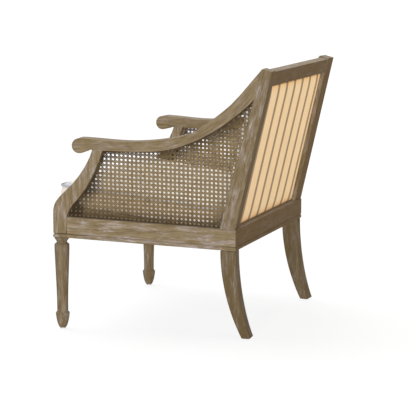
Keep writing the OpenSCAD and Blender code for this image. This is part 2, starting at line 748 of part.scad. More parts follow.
// The extent front to back, which puts the origin under its middle
cushion_reach = (deck_lip - cushion_front) * cos(seat_tilt + deck_fall) - deck_lip * cos(seat_tilt)
    - deck_rise * sin(seat_tilt) - (1 - welt_share) * cushion_d / 2;
front_reach = max(cushion_reach, frame_d + lip + post_w * sin(splay));
rear_reach = (stile_len * sin(back_lean) - stile_back_set) * cos(splay) - stile_set * sin(splay);
centre_y = (front_reach - rear_reach) / 2;
module seat_cushion_shape() {
    h = cushion_h;
    c = cushion_crown;
    deck_frame() translate([0, (cushion_front + cushion_rear) / 2 - deck_lip, soft_gap])
        ringed_body(half_w(cushion_front, cushion_in), half_w(cushion_rear, cushion_in),
            cushion_d, cushion_r, cushion_draw, [
            [0.5, 0, 0], [0.95, 0, 0], [welt_share, h * 0.06, 0], [0.997, h * 0.3, 0], [0.997, h * 0.7, 0],
            [1, h - 1, 0], [0.993, h + c * 0.12, 0], [0.965, h + c * 0.34, 0], [0.88, h + c * 0.62, 0],
            [0.7, h + c * 0.83, 0], [0.42, h + c * 0.96, 0], [0.18, h + c * 0.99, c * 0.01]]);
}
pad_low = -pad_sink;
pad_high = stile_len - crest_drop - crest_h / 2;
back_web_depth = crest_set + crest_t + fit_gap;
pad_back = back_web_depth + 2 * web_t + soft_gap;
module inner_pad_shape() {
    thick = stile_d + pad_reach - pad_back - pad_draw / 2;
    pad_in = stile_set + stile_w + pad_side_gap;
    w_low = half_w(on_back(pad_low, pad_back)[0], pad_in);
    w_high = half_w(on_back(pad_high, pad_back)[0], pad_in);
    back_frame() translate([0, -pad_back, (pad_low + pad_high) / 2]) rotate([90, 0, 0])
        ringed_body(w_low, w_high, pad_high - pad_low, pad_r, pad_draw, [
            [0.5, 0, 0], [0.965, 0, 0], [0.99, 4, 0], [1, thick * 0.4, 0], [0.985, thick * 0.62, 0],
            [0.93, thick * 0.8, 0], [0.78, thick * 0.94, 0], [0.45, thick * 0.99, thick * 0.01]]);
}

// Deck, webbing and cleats under the cushion
deck_front = front_rail_inside + 2 * cleat_gap;
deck_rear = cushion_rear + deck_under;
deck_rear_top = deck_rise - (deck_rear - deck_lip) * tan(deck_fall);
module seat_deck_shape() {
    seat_frame() intersection() {
        plate(-front_w / 2, front_w) polygon([
            [deck_front, -deck_sink], [deck_front, soft_gap], [deck_lip, soft_gap],
            [deck_lip, deck_rise], [deck_rear, deck_rear_top], [deck_rear, -deck_sink]]);
        between(post_w + 2 * cleat_gap, -frame_d, 0, -rail_h, rail_h);
    }
}
web_top = -deck_sink - soft_gap;
front_cleat_y = front_rail_inside + 1.5 * cleat_gap;
rear_cleat_y = -rail_t - cleat_gap - cleat_s;
cross_from = front_cleat_y + cleat_s + cleat_gap;
cross_pitch = (rear_cleat_y - cleat_gap - web_w - cross_from) / (web_cross - 1);
long_pitch = (2 * half_w(0, rail_t) - web_w) / (web_long + 1);
module seat_webbing_shape() {
    seat_frame() {
        for (k = [1:web_long])
            translate([k * long_pitch - half_w(0, rail_t), deck_front + cleat_gap, web_top - web_t])
            cube([web_w, -deck_front - rail_t - 3 * cleat_gap, web_t]);
        for (k = [0:web_cross - 1]) intersection() {
            translate([-front_w / 2, cross_from + k * cross_pitch, web_top - 2 * web_t])
                cube([front_w, web_w, web_t]);
            between(rail_t + cleat_gap, -frame_d, 0, -rail_h, 0);
        }
    }
}
cleat_top = web_top - 2 * web_t - fit_gap;
side_cleat_from = block_back + 2 * brace_w + brace_gap;
side_cleat_len = -side_cleat_from - rail_t - block_leg - brace_gap;
function cleat_half(y) = half_w(y, rail_t) - block_leg - cleat_s;
module end_cleat(y) {
    translate([-cleat_half(y), y, cleat_top - cleat_s + web_t]) cube([2 * cleat_half(y), cleat_s, cleat_s]);
}
module seat_cleats_shape() {
    seat_frame() {
        pair() intersection() {
            translate([0, side_cleat_from, cleat_top - cleat_s]) cube([long, side_cleat_len, cleat_s]);
            difference() {
                between(rail_t + fit_gap, -frame_d, 0, -rail_h, 0);
                between(rail_t + cleat_s, -frame_d - 1, 1, -rail_h - 1, 1);
            }
        }
        end_cleat(rear_cleat_y);
        end_cleat(front_cleat_y);
    }
}
dust_top = cleat_top - cleat_s - fit_gap;
module dust_cover_shape() {
    seat_frame() difference() {
        between(rail_t + cleat_gap, deck_front, -rail_t - 2 * cleat_gap, dust_top - dust_t, dust_top);
        pair() {
            x_front = half_w(front_rail_inside, rail_t) - block_leg - 2 * cleat_gap;
            translate([x_front, front_rail_inside, -rail_h])
                cube([2 * block_leg, 2 * brace_w + 2 * cleat_gap, rail_h]);
            translate([half_w(0, rail_t) - rail_t - block_leg, -rail_t - block_leg - brace_gap, -rail_h])
                cube([2 * block_leg, block_leg + 2 * brace_gap, rail_h]);
        }
    }
}

// Back upholstery
board_low = board_gap - cover_set * sin(back_lean);
board_high = stile_len - crest_drop - crest_h - board_gap;
module outer_board_shape() {
    back_bar(board_low, board_high - board_low, cover_set + cover_t, board_t);
}
module outer_cover_shape() {
    back_bar(board_low, board_high - board_low, cover_set, cover_t - fit_gap);
}
low_rail_top = low_rail_z + low_rail_h;
back_clear = 2 * half_w(0, stile_set + stile_w);
up_pitch = (back_clear - web_w) / (back_web_up + 1);
back_gap = (board_high - low_rail_top - 2 * web_w) / 3;
module back_webbing_shape() {
    back_frame() for (k = [1:back_web_up])
        translate([k * up_pitch - back_clear / 2, -back_web_depth - web_t, low_rail_z + low_rail_h / 5])
            cube([web_w, web_t, board_high - low_rail_z]);
    for (k = [0:1])
        back_bar(low_rail_top + back_gap + k * (back_gap + web_w), web_w, back_web_depth + web_t, web_t);
}

module front_leg_left() { color(oak) left_side() front_leg_shape(); }
module front_leg_right() { color(oak) right_side() front_leg_shape(); }
module rear_leg_left() { color(oak) left_side() rear_leg_shape(); }
module rear_leg_right() { color(oak) right_side() rear_leg_shape(); }
module arm_post_left() { color(oak) left_side() arm_post_shape(); }
module arm_post_right() { color(oak) right_side() arm_post_shape(); }
module arm_left() { color(oak) left_side() arm_shape(); }
module arm_right() { color(oak) right_side() arm_shape(); }
module back_stile_left() { color(oak) left_side() stile_shape(); }
module back_stile_right() { color(oak) right_side() stile_shape(); }
module side_rail_left() { color(oak) left_side() side_rail_shape(); }
module side_rail_right() { color(oak) right_side() side_rail_shape(); }
module front_rail() { color(oak) middle() front_rail_shape(); }
module rear_rail() { color(oak) middle() rear_rail_shape(); }
module crest_rail() { color(oak) middle() crest_shape(); }
module lower_back_rail() { color(hidden_wood) middle() low_rail_shape(); }
module cane_panel_left() { color(cane_colour) left_side() cane_shape(); }
module cane_panel_right() { color(cane_colour) right_side() cane_shape(); }
module cane_bead_left() { color(oak) left_side() cane_bead_shape(); }
module cane_bead_right() { color(oak) right_side() cane_bead_shape(); }
module front_corner_blocks() { color(hidden_wood) middle() pair() front_corner_block(); }
module rear_corner_blocks() { color(hidden_wood) middle() both_sides() rear_corner_block(); }
module corner_screws() {
    color(steel) middle() both_sides() {
        front_screw_places() pin(screw_d, screw_len);
        rear_screw_places() pin(screw_d, screw_len);
    }
}
module front_leg_bolts() {
    color(steel) middle() both_sides() leg_bolt_place() pin(bolt_d, bolt_len);
}
module rear_leg_dowels() {
    color(hidden_wood) middle() both_sides() rear_leg_dowel_places() pin(dowel_d, dowel_len);
}
module stile_dowels() {
    color(hidden_wood) middle() both_sides() stile_dowel_places() pin(dowel_d, dowel_len);
}
module arm_dowels() {
    color(hidden_wood) middle() both_sides() arm_dowel_places() pin(dowel_d, arm_dowel_len);
}
module arm_back_dowels() {
    color(hidden_wood) middle() both_sides() arm_back_place() pin(dowel_d, arm_dowel_len);
}
module rail_dowels() {
    color(hidden_wood) middle() both_sides() {
        rail_dowel_places() pin(dowel_d, dowel_len);
        front_rail_dowel_places() pin(dowel_d, front_dowel_len);
    }
}
module back_rail_dowels() {
    color(hidden_wood) middle() both_sides() {
        crest_dowel_places() pin(dowel_d, dowel_len);
        low_rail_dowel_places() pin(small_dowel_d, dowel_len);
    }
}
module floor_glides() {
    color(steel) middle() both_sides() {
        translate([-leg_in, -side_len + leg_set, 0]) cylinder(d = glide_d, h = glide_t - fit_gap, $fn = 48);
        translate([-rear_leg_set - rear_leg_w / 2, rear_kick - rear_leg_foot / 2, 0])
            cylinder(d = glide_d, h = glide_t - fit_gap, $fn = 48);
    }
}
module seat_cleats() { color(hidden_wood) middle() seat_cleats_shape(); }
module seat_webbing() { color(jute) middle() seat_webbing_shape(); }
module seat_deck() { color(ivory) middle() seat_deck_shape(); }
module dust_cover() { color(black_cloth) middle() dust_cover_shape(); }
module seat_cushion() { color(ivory) middle() seat_cushion_shape(); }
module back_webbing() { color(jute) middle() back_webbing_shape(); }
module outer_back_board() { color(hidden_wood) middle() outer_board_shape(); }
module outer_back_cover() { color(wheat) middle() outer_cover_shape(); }
module inner_back_pad() { color(ivory) middle() inner_pad_shape(); }

front_leg_left();
front_leg_right();
rear_leg_left();
rear_leg_right();
arm_post_left();
arm_post_right();
arm_left();
arm_right();
back_stile_left();
back_stile_right();
side_rail_left();
side_rail_right();
front_rail();
rear_rail();
crest_rail();
lower_back_rail();
cane_panel_left();
cane_panel_right();
cane_bead_left();
cane_bead_right();
front_corner_blocks();
rear_corner_blocks();
corner_screws();
front_leg_bolts();
rear_leg_dowels();
stile_dowels();
arm_dowels();
arm_back_dowels();
rail_dowels();
back_rail_dowels();
floor_glides();
seat_cleats();
seat_webbing();
seat_deck();
dust_cover();
seat_cushion();
back_webbing();
outer_back_board();
outer_back_cover();
inner_back_pad();
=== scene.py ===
"""Low lounge armchair: its frame in limed oak, cane in its sides, linen on its seat and back."""
import json
import math

import bmesh
import bpy
import numpy as np
from bpy.props import FloatProperty, FloatVectorProperty, PointerProperty
from mathutils import Matrix, Vector
from mathutils.bvhtree import BVHTree
from mathutils.kdtree import KDTree

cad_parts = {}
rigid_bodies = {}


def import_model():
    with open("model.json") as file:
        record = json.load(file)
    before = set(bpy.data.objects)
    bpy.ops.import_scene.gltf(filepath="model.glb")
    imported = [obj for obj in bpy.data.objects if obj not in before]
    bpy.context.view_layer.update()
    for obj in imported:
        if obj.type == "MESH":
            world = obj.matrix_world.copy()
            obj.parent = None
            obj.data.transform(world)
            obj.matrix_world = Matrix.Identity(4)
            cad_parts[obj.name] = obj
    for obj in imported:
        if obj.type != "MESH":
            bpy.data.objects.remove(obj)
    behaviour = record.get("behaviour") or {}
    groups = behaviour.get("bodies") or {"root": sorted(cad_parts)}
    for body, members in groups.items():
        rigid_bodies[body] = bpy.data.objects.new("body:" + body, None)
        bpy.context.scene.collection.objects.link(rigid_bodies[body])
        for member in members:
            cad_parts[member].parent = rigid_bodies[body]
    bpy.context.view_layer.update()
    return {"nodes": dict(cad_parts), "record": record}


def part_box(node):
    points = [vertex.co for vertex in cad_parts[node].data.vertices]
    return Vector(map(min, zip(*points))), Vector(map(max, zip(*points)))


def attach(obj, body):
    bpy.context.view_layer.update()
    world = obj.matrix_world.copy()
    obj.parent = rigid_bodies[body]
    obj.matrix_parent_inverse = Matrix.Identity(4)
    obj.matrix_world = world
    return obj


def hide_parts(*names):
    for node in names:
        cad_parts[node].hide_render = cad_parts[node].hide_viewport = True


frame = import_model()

bl_info = {
    "name": "Cane-sided lounge armchair",
    "version": (1, 0, 0),
    "blender": (4, 5, 0),
    "location": "3D View > Sidebar > Armchair",
    "description": "Dresses a low armchair's frame in limed oak, woven cane and linen",
    "category": "Object",
}

MM = 0.001
FRAME_BODY = "frame"
CUSHION_BODY = "seat_cushion"
# Corners of the CAD meshes that lie nearer than this are one
WELD = 0.004 * MM
# The frame's slopes, and where the outer faces of its sides start at the rear
SPLAY = math.radians(4.4223)
SEAT_TILT = math.radians(1.9)
DECK_TILT = SEAT_TILT + math.radians(5)
BACK_LEAN = math.radians(13.2)
REAR_HALF = 332.5 * MM
CENTRE_Y = 228.501 * MM
CUSHION_UP = Vector((0, math.sin(DECK_TILT), math.cos(DECK_TILT)))
BACK_UP = Vector((0, math.sin(BACK_LEAN), math.cos(BACK_LEAN)))
BACK_OUT = Vector((0, -math.cos(BACK_LEAN), math.sin(BACK_LEAN)))


def colour(r, g, b):
    """A screen colour, 0 to 255, as the linear colour that a shader takes."""
    def linear(c):
        c /= 255
        return c / 12.92 if c <= 0.04045 else ((c + 0.055) / 1.055) ** 2.4
    return (linear(r), linear(g), linear(b), 1)


def side_frame(sign):
    """Places a side: its own x points outwards from the outer face, y to the rear and z up."""
    turned = Matrix.Translation((REAR_HALF, CENTRE_Y, 0)) @ Matrix.Rotation(SPLAY, 4, "Z")
    return Matrix.Diagonal((sign, 1, 1, 1)) @ turned


# Sizes and colours that a user would change

def length(name, text, default, low, high):
    return FloatProperty(name=name, description=text, default=default, min=low, max=high,
                         subtype="DISTANCE", unit="LENGTH")


def tint(name, text, default):
    return FloatVectorProperty(name=name, description=text, default=default, size=4, min=0, max=1,
                               subtype="COLOR")


class OakSettings(bpy.types.PropertyGroup):
    ease: length("Eased edge", "Width of the rounding on the free edges", 2.4 * MM, 0, 5 * MM)
    rail_ease: length("Rail edge", "Width of the rounding on the rails", 1.2 * MM, 0, 3 * MM)
    light: tint("Oak", "Colour of the open oak", colour(129, 113, 87))
    deep: tint("Deep oak", "Colour of the darker streaks of the grain", colour(88, 73, 48))
    pore: tint("Pores", "Colour of the open pores", colour(66, 50, 30))
    lime: tint("Lime", "Colour of the lime left in the wood", colour(160, 150, 147))
    # Painted shade: faces that look to the rear take this darker colour, as if out of the light
    rear: tint("Rear", "Colour of the faces that the back of the chair shows", colour(88, 66, 33))
    # Painted highlight: faces that look up take this paler colour, as if lit from above
    top: tint("Top", "Colour of the worn faces that look up", colour(190, 174, 152))


class CaneSettings(bpy.types.PropertyGroup):
    pitch_along: length("Pitch along", "Distance between the holes along the rail", 13.04 * MM, 0.01, 0.016)
    pitch_up: length("Pitch up", "Distance between the holes upwards", 12.46 * MM, 0.01, 0.016)
    strand: length("Strand", "Width of a strand of cane", 2.5 * MM, MM, 3 * MM)
    thick: length("Thickness", "Thickness of a strand", 0.6 * MM, 0.3 * MM, MM)
    pair_gap: length("Pair", "Distance between the two strands of a pair", 3.4 * MM, 2 * MM, 4 * MM)
    reed: length("Reed", "Width of the reed that wedges the cane into its groove", 2.5 * MM, MM, 8 * MM)
    light: tint("Cane", "Colour of the cane's skin", colour(126, 107, 76))
    deep: tint("Deep cane", "Colour of the cane's darker stretches", colour(84, 67, 43))
    # Painted shade: the cane takes this colour beside the front, the foot and the top of its opening, where
    # the frame's recess shades it
    stain: tint("Stain", "Colour of the cane where the stain has gathered", colour(48, 36, 22))


class LinenSettings(bpy.types.PropertyGroup):
    welt: length("Welt", "Diameter of the piping", 7 * MM, 3 * MM, 8 * MM)
    voxel: length("Net", "Size of the cloth's net while it is filled", 6 * MM, 4 * MM, 0.012)
    stripe: length("Stripe", "Width of a stripe on the outer back", 20 * MM, 2 * MM, 0.03)
    stripe_pitch: length("Stripe pitch", "Distance between stripes", 80 * MM, 0.03, 0.2)
    ivory: tint("Ivory", "Colour of the seat's linen", colour(241, 237, 229))
    border: tint("Border", "Colour of the linen round the foot of the cushion", colour(212, 203, 195))
    # Painted shade in part: the piping's own blue-grey is made darker to stand for the shade along the
    # cushion's upper seam
    welt_blue: tint("Welt", "Colour of the piping", colour(170, 173, 178))
    band: tint("Band", "Colour of the strip above the cushion's upper welt", colour(186, 188, 192))
    wheat: tint("Wheat", "Colour of the outer back's linen", colour(244, 213, 169))
    line: tint("Stripe", "Colour of the stripes", colour(148, 127, 101))
    # Painted shade: the linen takes this warmer, darker colour next to the wood at its rim
    warm: tint("Warm edge", "Colour of the outer back's linen beside the wood", colour(240, 184, 112))


def strength(name, text, default, high=6):
    return FloatProperty(name=name, description=text, default=default, min=0, max=high)


class StageSettings(bpy.types.PropertyGroup):
    sky: strength("Sky", "Strength of the even light", 0.25, 2)
    key: strength("Key", "Strength of the high side lamp", 0.4)
    eye: strength("Eye", "Strength of the lamp beside the camera", 2.7)
    rear: strength("Rear", "Strength of the lamp behind", 0.55)
    front: strength("Front", "Strength of the lamp in front", 2.0)


# Shaders as Python expressions

class Wire:
    """A shader socket that carries a number, with Python's arithmetic on it."""

    def __init__(self, finish, socket):
        self.finish = finish
        self.socket = socket

    def _math(self, operation, *values):
        return self.finish.node("ShaderNodeMath", {"operation": operation}, *values)

    def __add__(self, other):
        return self._math("ADD", self, other)

    def __radd__(self, other):
        return self._math("ADD", other, self)

    def __sub__(self, other):
        return self._math("SUBTRACT", self, other)

    def __rsub__(self, other):
        return self._math("SUBTRACT", other, self)

    def __mul__(self, other):
        return self._math("MULTIPLY", self, other)

    def __rmul__(self, other):
        return self._math("MULTIPLY", other, self)

    def __abs__(self):
        return self._math("ABSOLUTE", self)

    def sine(self):
        return self._math("SINE", self)

    def wrapped(self, high, low):
        return self._math("WRAP", self, high, low)

    def clipped(self):
        return self.finish.node("ShaderNodeMath", {"operation": "ADD", "use_clamp": True}, self, 0.0)

    def step(self, low, high):
        """0 below low and 1 above high, smooth between them."""
        return self.finish.node("ShaderNodeMapRange", {"interpolation_type": "SMOOTHSTEP"},
                                Value=self, From_Min=low, From_Max=high)


class Finish:
    """A material and the nodes that make it."""

    def __init__(self, name, **fixed):
        self.material = bpy.data.materials.new(name)
        self.material.use_nodes = True
        self.tree = self.material.node_tree
        self.shader = self.tree.nodes["Principled BSDF"]
        for socket, value in fixed.items():
            self.shader.inputs[socket.replace("_", " ")].default_value = value

    def node(self, kind, settings, *values, take=0, **named):
        """Adds a node, sets it up, feeds its sockets and gives back one of its outputs."""
        made = self.tree.nodes.new(kind)
        for key, value in settings.items():
            setattr(made, key, value)
        sockets = dict(enumerate(values))
        sockets.update({key.replace("_", " "): value for key, value in named.items()})
        for key, value in sockets.items():
            self.feed(made.inputs[key], value)
        return Wire(self, made.outputs[take])

    def feed(self, socket, value):
        if isinstance(value, Wire):
            self.tree.links.new(value.socket, socket)
        else:
            socket.default_value = value

    def attribute(self, name):
        return self.node("ShaderNodeAttribute", {"attribute_name": name}, take="Vector")

    def place(self):
        return self.node("ShaderNodeTexCoord", {}, take="Object")

    def facing(self):
        return self.node("ShaderNodeNewGeometry", {}, take="Normal")

    def split(self, vector):
        first = self.node("ShaderNodeSeparateXYZ", {}, vector)
        return [Wire(self, out) for out in first.socket.node.outputs]

    def stretched(self, vector, *scale):
        return self.node("ShaderNodeVectorMath", {"operation": "MULTIPLY"}, vector, scale)

    def noise(self, vector, scale=1.0, detail=3.0, roughness=0.5):
        return self.node("ShaderNodeTexNoise", {}, Vector=vector, Scale=scale, Detail=detail,
                         Roughness=roughness)

    def mix(self, share, a, b):
        """A colour between two colours."""
        made = self.tree.nodes.new("ShaderNodeMix")
        made.data_type = "RGBA"
        for index, value in ((0, share), (6, a), (7, b)):
            self.feed(made.inputs[index], value)
        return Wire(self, made.outputs[2])

    def bump(self, height, depth, strength=1.0):
        return self.node("ShaderNodeBump", {}, Strength=strength, Distance=depth, Height=height)

    def paint(self, **sockets):
        for key, value in sockets.items():
            self.feed(self.shader.inputs[key.replace("_", " ")], value)
        return self.material


def limed_oak(settings):
    """Open-grained oak, limed, with its grain along the piece's own length, painted shade on the faces that
    look to the rear and a painted highlight on those that look up.
    """
    oak = Finish("limed_oak", Specular_IOR_Level=0.05)
    grain = oak.attribute("grain")
    _, across, through = oak.split(grain)
    drift = oak.noise(oak.stretched(grain, 2.4, 11, 11), detail=2)
    rings = ((across * 74 + through * 52 + drift * 5.5) * math.tau).sine() * 0.5 + 0.5
    streaks = oak.noise(oak.stretched(grain, 19, 240, 240), detail=5, roughness=0.65)
    fine = oak.noise(oak.stretched(grain, 40, 560, 560), detail=3)
    haze = oak.noise(oak.stretched(grain, 14, 60, 60), detail=4, roughness=0.62).step(0.41, 0.68)
    pores = oak.noise(oak.stretched(grain, 60, 1100, 1100), detail=2).step(0.58, 0.70)
    dark = ((streaks - 0.5) * 2.8 + rings * 0.25 + 0.25).clipped()
    darker, rear_shade_share, paler = oak.split(oak.attribute("tones"))
    tone = oak.mix(dark, settings.light, settings.deep)
    tone = oak.mix(darker, tone, settings.deep)
    _, rear, up = oak.split(oak.facing())
    # Painted shade: faces that look to the rear are darkened, and lose most of their lime, as if out of the
    # light
    behind = rear.step(0.3, 0.9) * rear_shade_share
    tone = oak.mix(behind * 0.88, tone, settings.rear)
    # Painted highlight: the faces that look up are made paler, as if lit from above
    tone = oak.mix(up.step(0.75, 0.98) * 0.3, tone, settings.top)
    limed = (haze * (fine.step(0.49, 0.6) * 0.7 + 0.3) * (1 - behind * 0.86) * paler).clipped()
    tone = oak.mix(limed, tone, settings.lime)
    worn = oak.mix(pores * (0.55 - limed * 0.4), tone, settings.pore)
    # Painted shade: a dark line in the pores' colour along the groove above the foot, where the crease would
    # fall into shade
    foot, cut, _ = oak.split(oak.attribute("foot"))
    groove = 1 - abs(foot - GROOVE_UP).step(0.8 * MM, 2.2 * MM)
    worn = oak.mix(groove * cut, worn, settings.pore)
    depth = streaks * 0.5 - pores * 0.6 + fine * 0.3
    return oak.paint(
        Base_Color=worn,
        Roughness=streaks * 0.2 + 0.48 + limed * 0.12,
        Normal=oak.bump(depth, 0.5 * MM, 0.45),
    )


def plain_wood():
    """Unfinished softwood and birch inside the frame."""
    wood = Finish("plain_wood", Specular_IOR_Level=0.25)
    streaks = wood.noise(wood.stretched(wood.place(), 12, 160, 160), detail=4)
    tone = wood.mix(streaks, colour(214, 184, 140), colour(168, 134, 92))
    return wood.paint(
        Base_Color=tone,
        Roughness=streaks * 0.2 + 0.6,
        Normal=wood.bump(streaks, 0.3 * MM, 0.3),
    )


def woven_cane(settings):
    """Split cane, stained to the oak and a little darker here and there, with painted shade beside the edges
    of its opening.
    """
    cane = Finish("woven_cane", Specular_IOR_Level=0.1)
    place = cane.place()
    stretches = cane.noise(place, scale=90.0, detail=3)
    hairs = cane.noise(place, scale=1400.0, detail=2)
    share = (stretches * 1.5 + hairs * 0.7 - 0.75).clipped()
    # Painted shade: the cane darkens beside the edges of its opening, where the frame's recess shades it
    pooled, _, _ = cane.split(cane.attribute("pooled"))
    tone = cane.mix(share, settings.light, settings.deep)
    return cane.paint(
        Base_Color=cane.mix(pooled, tone, settings.stain),
        Roughness=share * 0.2 + 0.42,
        Normal=cane.bump(hairs, 0.1 * MM, 0.4),
    )


def weave(cloth, place, pitch):
    """Height of a plain weave over the three directions of space, with slubs in its threads."""
    x, y, z = cloth.split(place)
    turn = math.tau / pitch
    threads = ((x * turn).sine() * (y * turn).sine()
               + (x * turn + math.pi / 2).sine() * (z * turn).sine() * 0.7)
    slubs = cloth.noise(cloth.stretched(place, 90, 700, 700), detail=3)
    cross = cloth.noise(cloth.stretched(place, 700, 90, 90), detail=3)
    return threads * 0.25 + slubs * 0.7 + cross * 0.7, slubs, cross


def ivory_linen(settings):
    """The seat's pale linen, with a faint slub and soft dust in its hollows."""
    linen = Finish("ivory_linen", Specular_IOR_Level=0.08, Sheen_Weight=0.1, Sheen_Roughness=0.5)
    place = linen.place()
    height, slubs, cross = weave(linen, place, pitch=1.6 * MM)
    cloud = linen.noise(place, scale=9.0, detail=2)
    share = (slubs * 0.55 + cross * 0.55 + cloud * 0.5 - 0.6).clipped()
    lower, band, _ = linen.split(linen.attribute("zone"))
    tone = linen.mix(share, settings.ivory, colour(226, 222, 214))
    tone = linen.mix(band * 0.9, tone, settings.band)
    tone = linen.mix(lower, tone, settings.border)
    return linen.paint(
        Base_Color=tone,
        Roughness=share * 0.1 + 0.82,
        Normal=linen.bump(height, 0.35 * MM, 0.5),
    )


def welt_linen(name, hue):
    """The piping, wrapped on the bias in linen."""
    linen = Finish(name, Specular_IOR_Level=0.08, Sheen_Weight=0.1, Sheen_Roughness=0.5)
    place = linen.place()
    height, slubs, cross = weave(linen, place, pitch=1.4 * MM)
    shade = linen.mix(0.22, hue, colour(90, 90, 96))
    tone = linen.mix((slubs + cross - 0.55).clipped(), hue, shade)
    return linen.paint(
        Base_Color=tone,
        Roughness=slubs * 0.1 + 0.8,
        Normal=linen.bump(height, 0.3 * MM, 0.5),
    )


def striped_linen(settings):
    """The outer back's wheat linen, with narrow stripes woven along its warp and painted warm shade beside
    the wood at its rim.
    """
    linen = Finish("striped_linen", Specular_IOR_Level=0.05)
    flat = linen.attribute("cloth")
    across, along, inwards = linen.split(flat)
    half = settings.stripe_pitch / 2
    off = abs(across.wrapped(half, -half))
    fray = linen.noise(linen.stretched(flat, 900, 220, 0), detail=2)
    edge = off + (fray - 0.5) * (2.4 * MM)
    stripe = 1 - edge.step(settings.stripe / 2 - 0.8 * MM, settings.stripe / 2 + 0.8 * MM)
    warp = linen.noise(linen.stretched(flat, 950, 60, 0), detail=3)
    weft = linen.noise(linen.stretched(flat, 60, 950, 0), detail=3)
    cloud = linen.noise(flat, scale=14.0, detail=3)
    share = (warp * 0.7 + weft * 0.7 + cloud * 0.4 - 0.55).clipped()
    ground = linen.mix(share, settings.wheat, colour(222, 186, 139))
    # Painted shade: warmer and darker towards the rim, beside the wood
    ground = linen.mix((1 - inwards.step(0.0, 26 * MM)) * 0.6, ground, settings.warm)
    line = linen.mix(share, settings.line, colour(132, 111, 85))
    turn = math.tau / (1.3 * MM)
    threads = (across * turn).sine() * (along * turn).sine()
    return linen.paint(
        Base_Color=linen.mix(stripe * 0.92, ground, line),
        Roughness=share * 0.1 + 0.82,
        Normal=linen.bump(threads * 0.25 + warp * 0.6 + weft * 0.6, 0.3 * MM, 0.5),
    )


def jute():
    """Coarse jute webbing with a herringbone of thick threads."""
    strap = Finish("jute", Specular_IOR_Level=0.15)
    place = strap.place()
    x, y, _ = strap.split(place)
    turn = math.tau / (3.2 * MM)
    rows = ((x + y) * turn).sine() * ((x - y) * turn).sine()
    hairs = strap.noise(place, scale=900.0, detail=3)
    share = (rows * 0.3 + hairs * 0.8).clipped()
    return strap.paint(
        Base_Color=strap.mix(share, colour(192, 160, 112), colour(136, 106, 68)),
        Roughness=hairs * 0.1 + 0.85,
        Normal=strap.bump(rows + hairs, 0.5 * MM, 0.6),
    )


def plain_cloth(name, hues, gloss, threads, rough, depth):
    """A lining or a bottom cloth, in which only fine threads show."""
    cloth = Finish(name, Specular_IOR_Level=gloss)
    hairs = cloth.noise(cloth.place(), scale=threads, detail=4)
    return cloth.paint(
        Base_Color=cloth.mix(hairs, *hues),
        Roughness=hairs * 0.1 + rough,
        Normal=cloth.bump(hairs, depth, 0.5),
    )


def zinc():
    """Zinc-coated steel, dulled."""
    steel = Finish("zinc", Metallic=1.0)
    cloud = steel.noise(steel.place(), scale=260.0, detail=4)
    return steel.paint(
        Base_Color=steel.mix(cloud, colour(186, 186, 182), colour(142, 141, 136)),
        Roughness=cloud * 0.25 + 0.3,
        Normal=steel.bump(cloud, 0.05 * MM, 0.3),
    )


# Meshes

def object_of(mesh, name):
    made = bpy.data.objects.new(name, mesh)
    bpy.context.scene.collection.objects.link(made)
    return made


def mesh_from(bm, name):
    mesh = bpy.data.meshes.new(name)
    bm.to_mesh(mesh)
    bm.free()
    return mesh


def welded(node, joined=True):
    """The solid of a CAD node with its doubles merged and, if asked, its flat faces joined."""
    bm = bmesh.new()
    bm.from_mesh(frame["nodes"][node].data)
    bmesh.ops.remove_doubles(bm, verts=bm.verts, dist=WELD)
    if joined:
        bmesh.ops.dissolve_limit(bm, angle_limit=math.radians(0.6), verts=bm.verts, edges=bm.edges)
    return bm


def baked(obj):
    """Turns an object with modifiers into a plain mesh object of the same name."""
    depsgraph = bpy.context.evaluated_depsgraph_get()
    mesh = bpy.data.meshes.new_from_object(obj.evaluated_get(depsgraph), depsgraph=depsgraph)
    name = obj.name
    bpy.data.objects.remove(obj)
    return object_of(mesh, name)


def even_normals(obj):
    """Smooth shading in which large flat faces stay flat beside their rounded edges."""
    obj.data.shade_smooth()
    obj.data.set_sharp_from_angle(angle=math.radians(50))
    weighted = obj.modifiers.new("Normals", "WEIGHTED_NORMAL")
    weighted.mode = "FACE_AREA"
    weighted.keep_sharp = True
    return baked(obj)


def fading(away, reach):
    """1 where nothing lies between, falling evenly to 0 at the reach."""
    return np.clip(1 - away / reach, 0, 1)


def points_of(mesh):
    co = np.zeros(len(mesh.vertices) * 3)
    mesh.vertices.foreach_get("co", co)
    return co.reshape(-1, 3)


def set_points(mesh, co):
    mesh.vertices.foreach_set("co", co.ravel())
    mesh.update()


def store_vectors(mesh, name, values):
    attribute = mesh.attributes.new(name, "FLOAT_VECTOR", "POINT")
    attribute.data.foreach_set("vector", np.asarray(values, np.float32).ravel())


def dress(obj, material):
    obj.data.materials.clear()
    obj.data.materials.append(material)
    return obj


def settle(obj, body, slot, *nodes):
    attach(obj, body)
    if nodes:
        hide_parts(*nodes)
    return obj


# Oak pieces

SIDED = ("front_leg", "rear_leg", "arm_post", "arm", "back_stile", "side_rail", "cane_bead")
ACROSS = ("front_rail", "rear_rail", "crest_rail")
RAILS = ("side_rail", "front_rail", "rear_rail", "cane_bead")
# How dark the painted shade in the groove above the foot of these kinds is
GROOVE_SHADE = {"side_rail": 0.3, "front_rail": 0.6, "rear_rail": 0.75, "arm_post": 0.75}
GROOVE_UP = 12.8 * MM
TURNED = "front_leg"
# Distance between the stations along an arm
STATION = 15 * MM
# An edge nearer to another piece than this lies in a joint
JOINT_NEAR = 0.8 * MM
# For some kinds: how much darker the wood is, how much painted shade browns its rear faces, how much lime it
# holds
TONES = {"rear_leg": (0.92, 0.2, 0.35), "back_stile": (0.36, 1.0, 0.68), "front_leg": (0.5, 0.2, 0.55),
         "arm_post": (0.1, 0.0, 0.85), "arm": (0.1, 0.0, 0.42), "cane_bead": (0.3, 0.3, 0.2)}
PLAIN_TONE = (0.0, 1.0, 1.0)


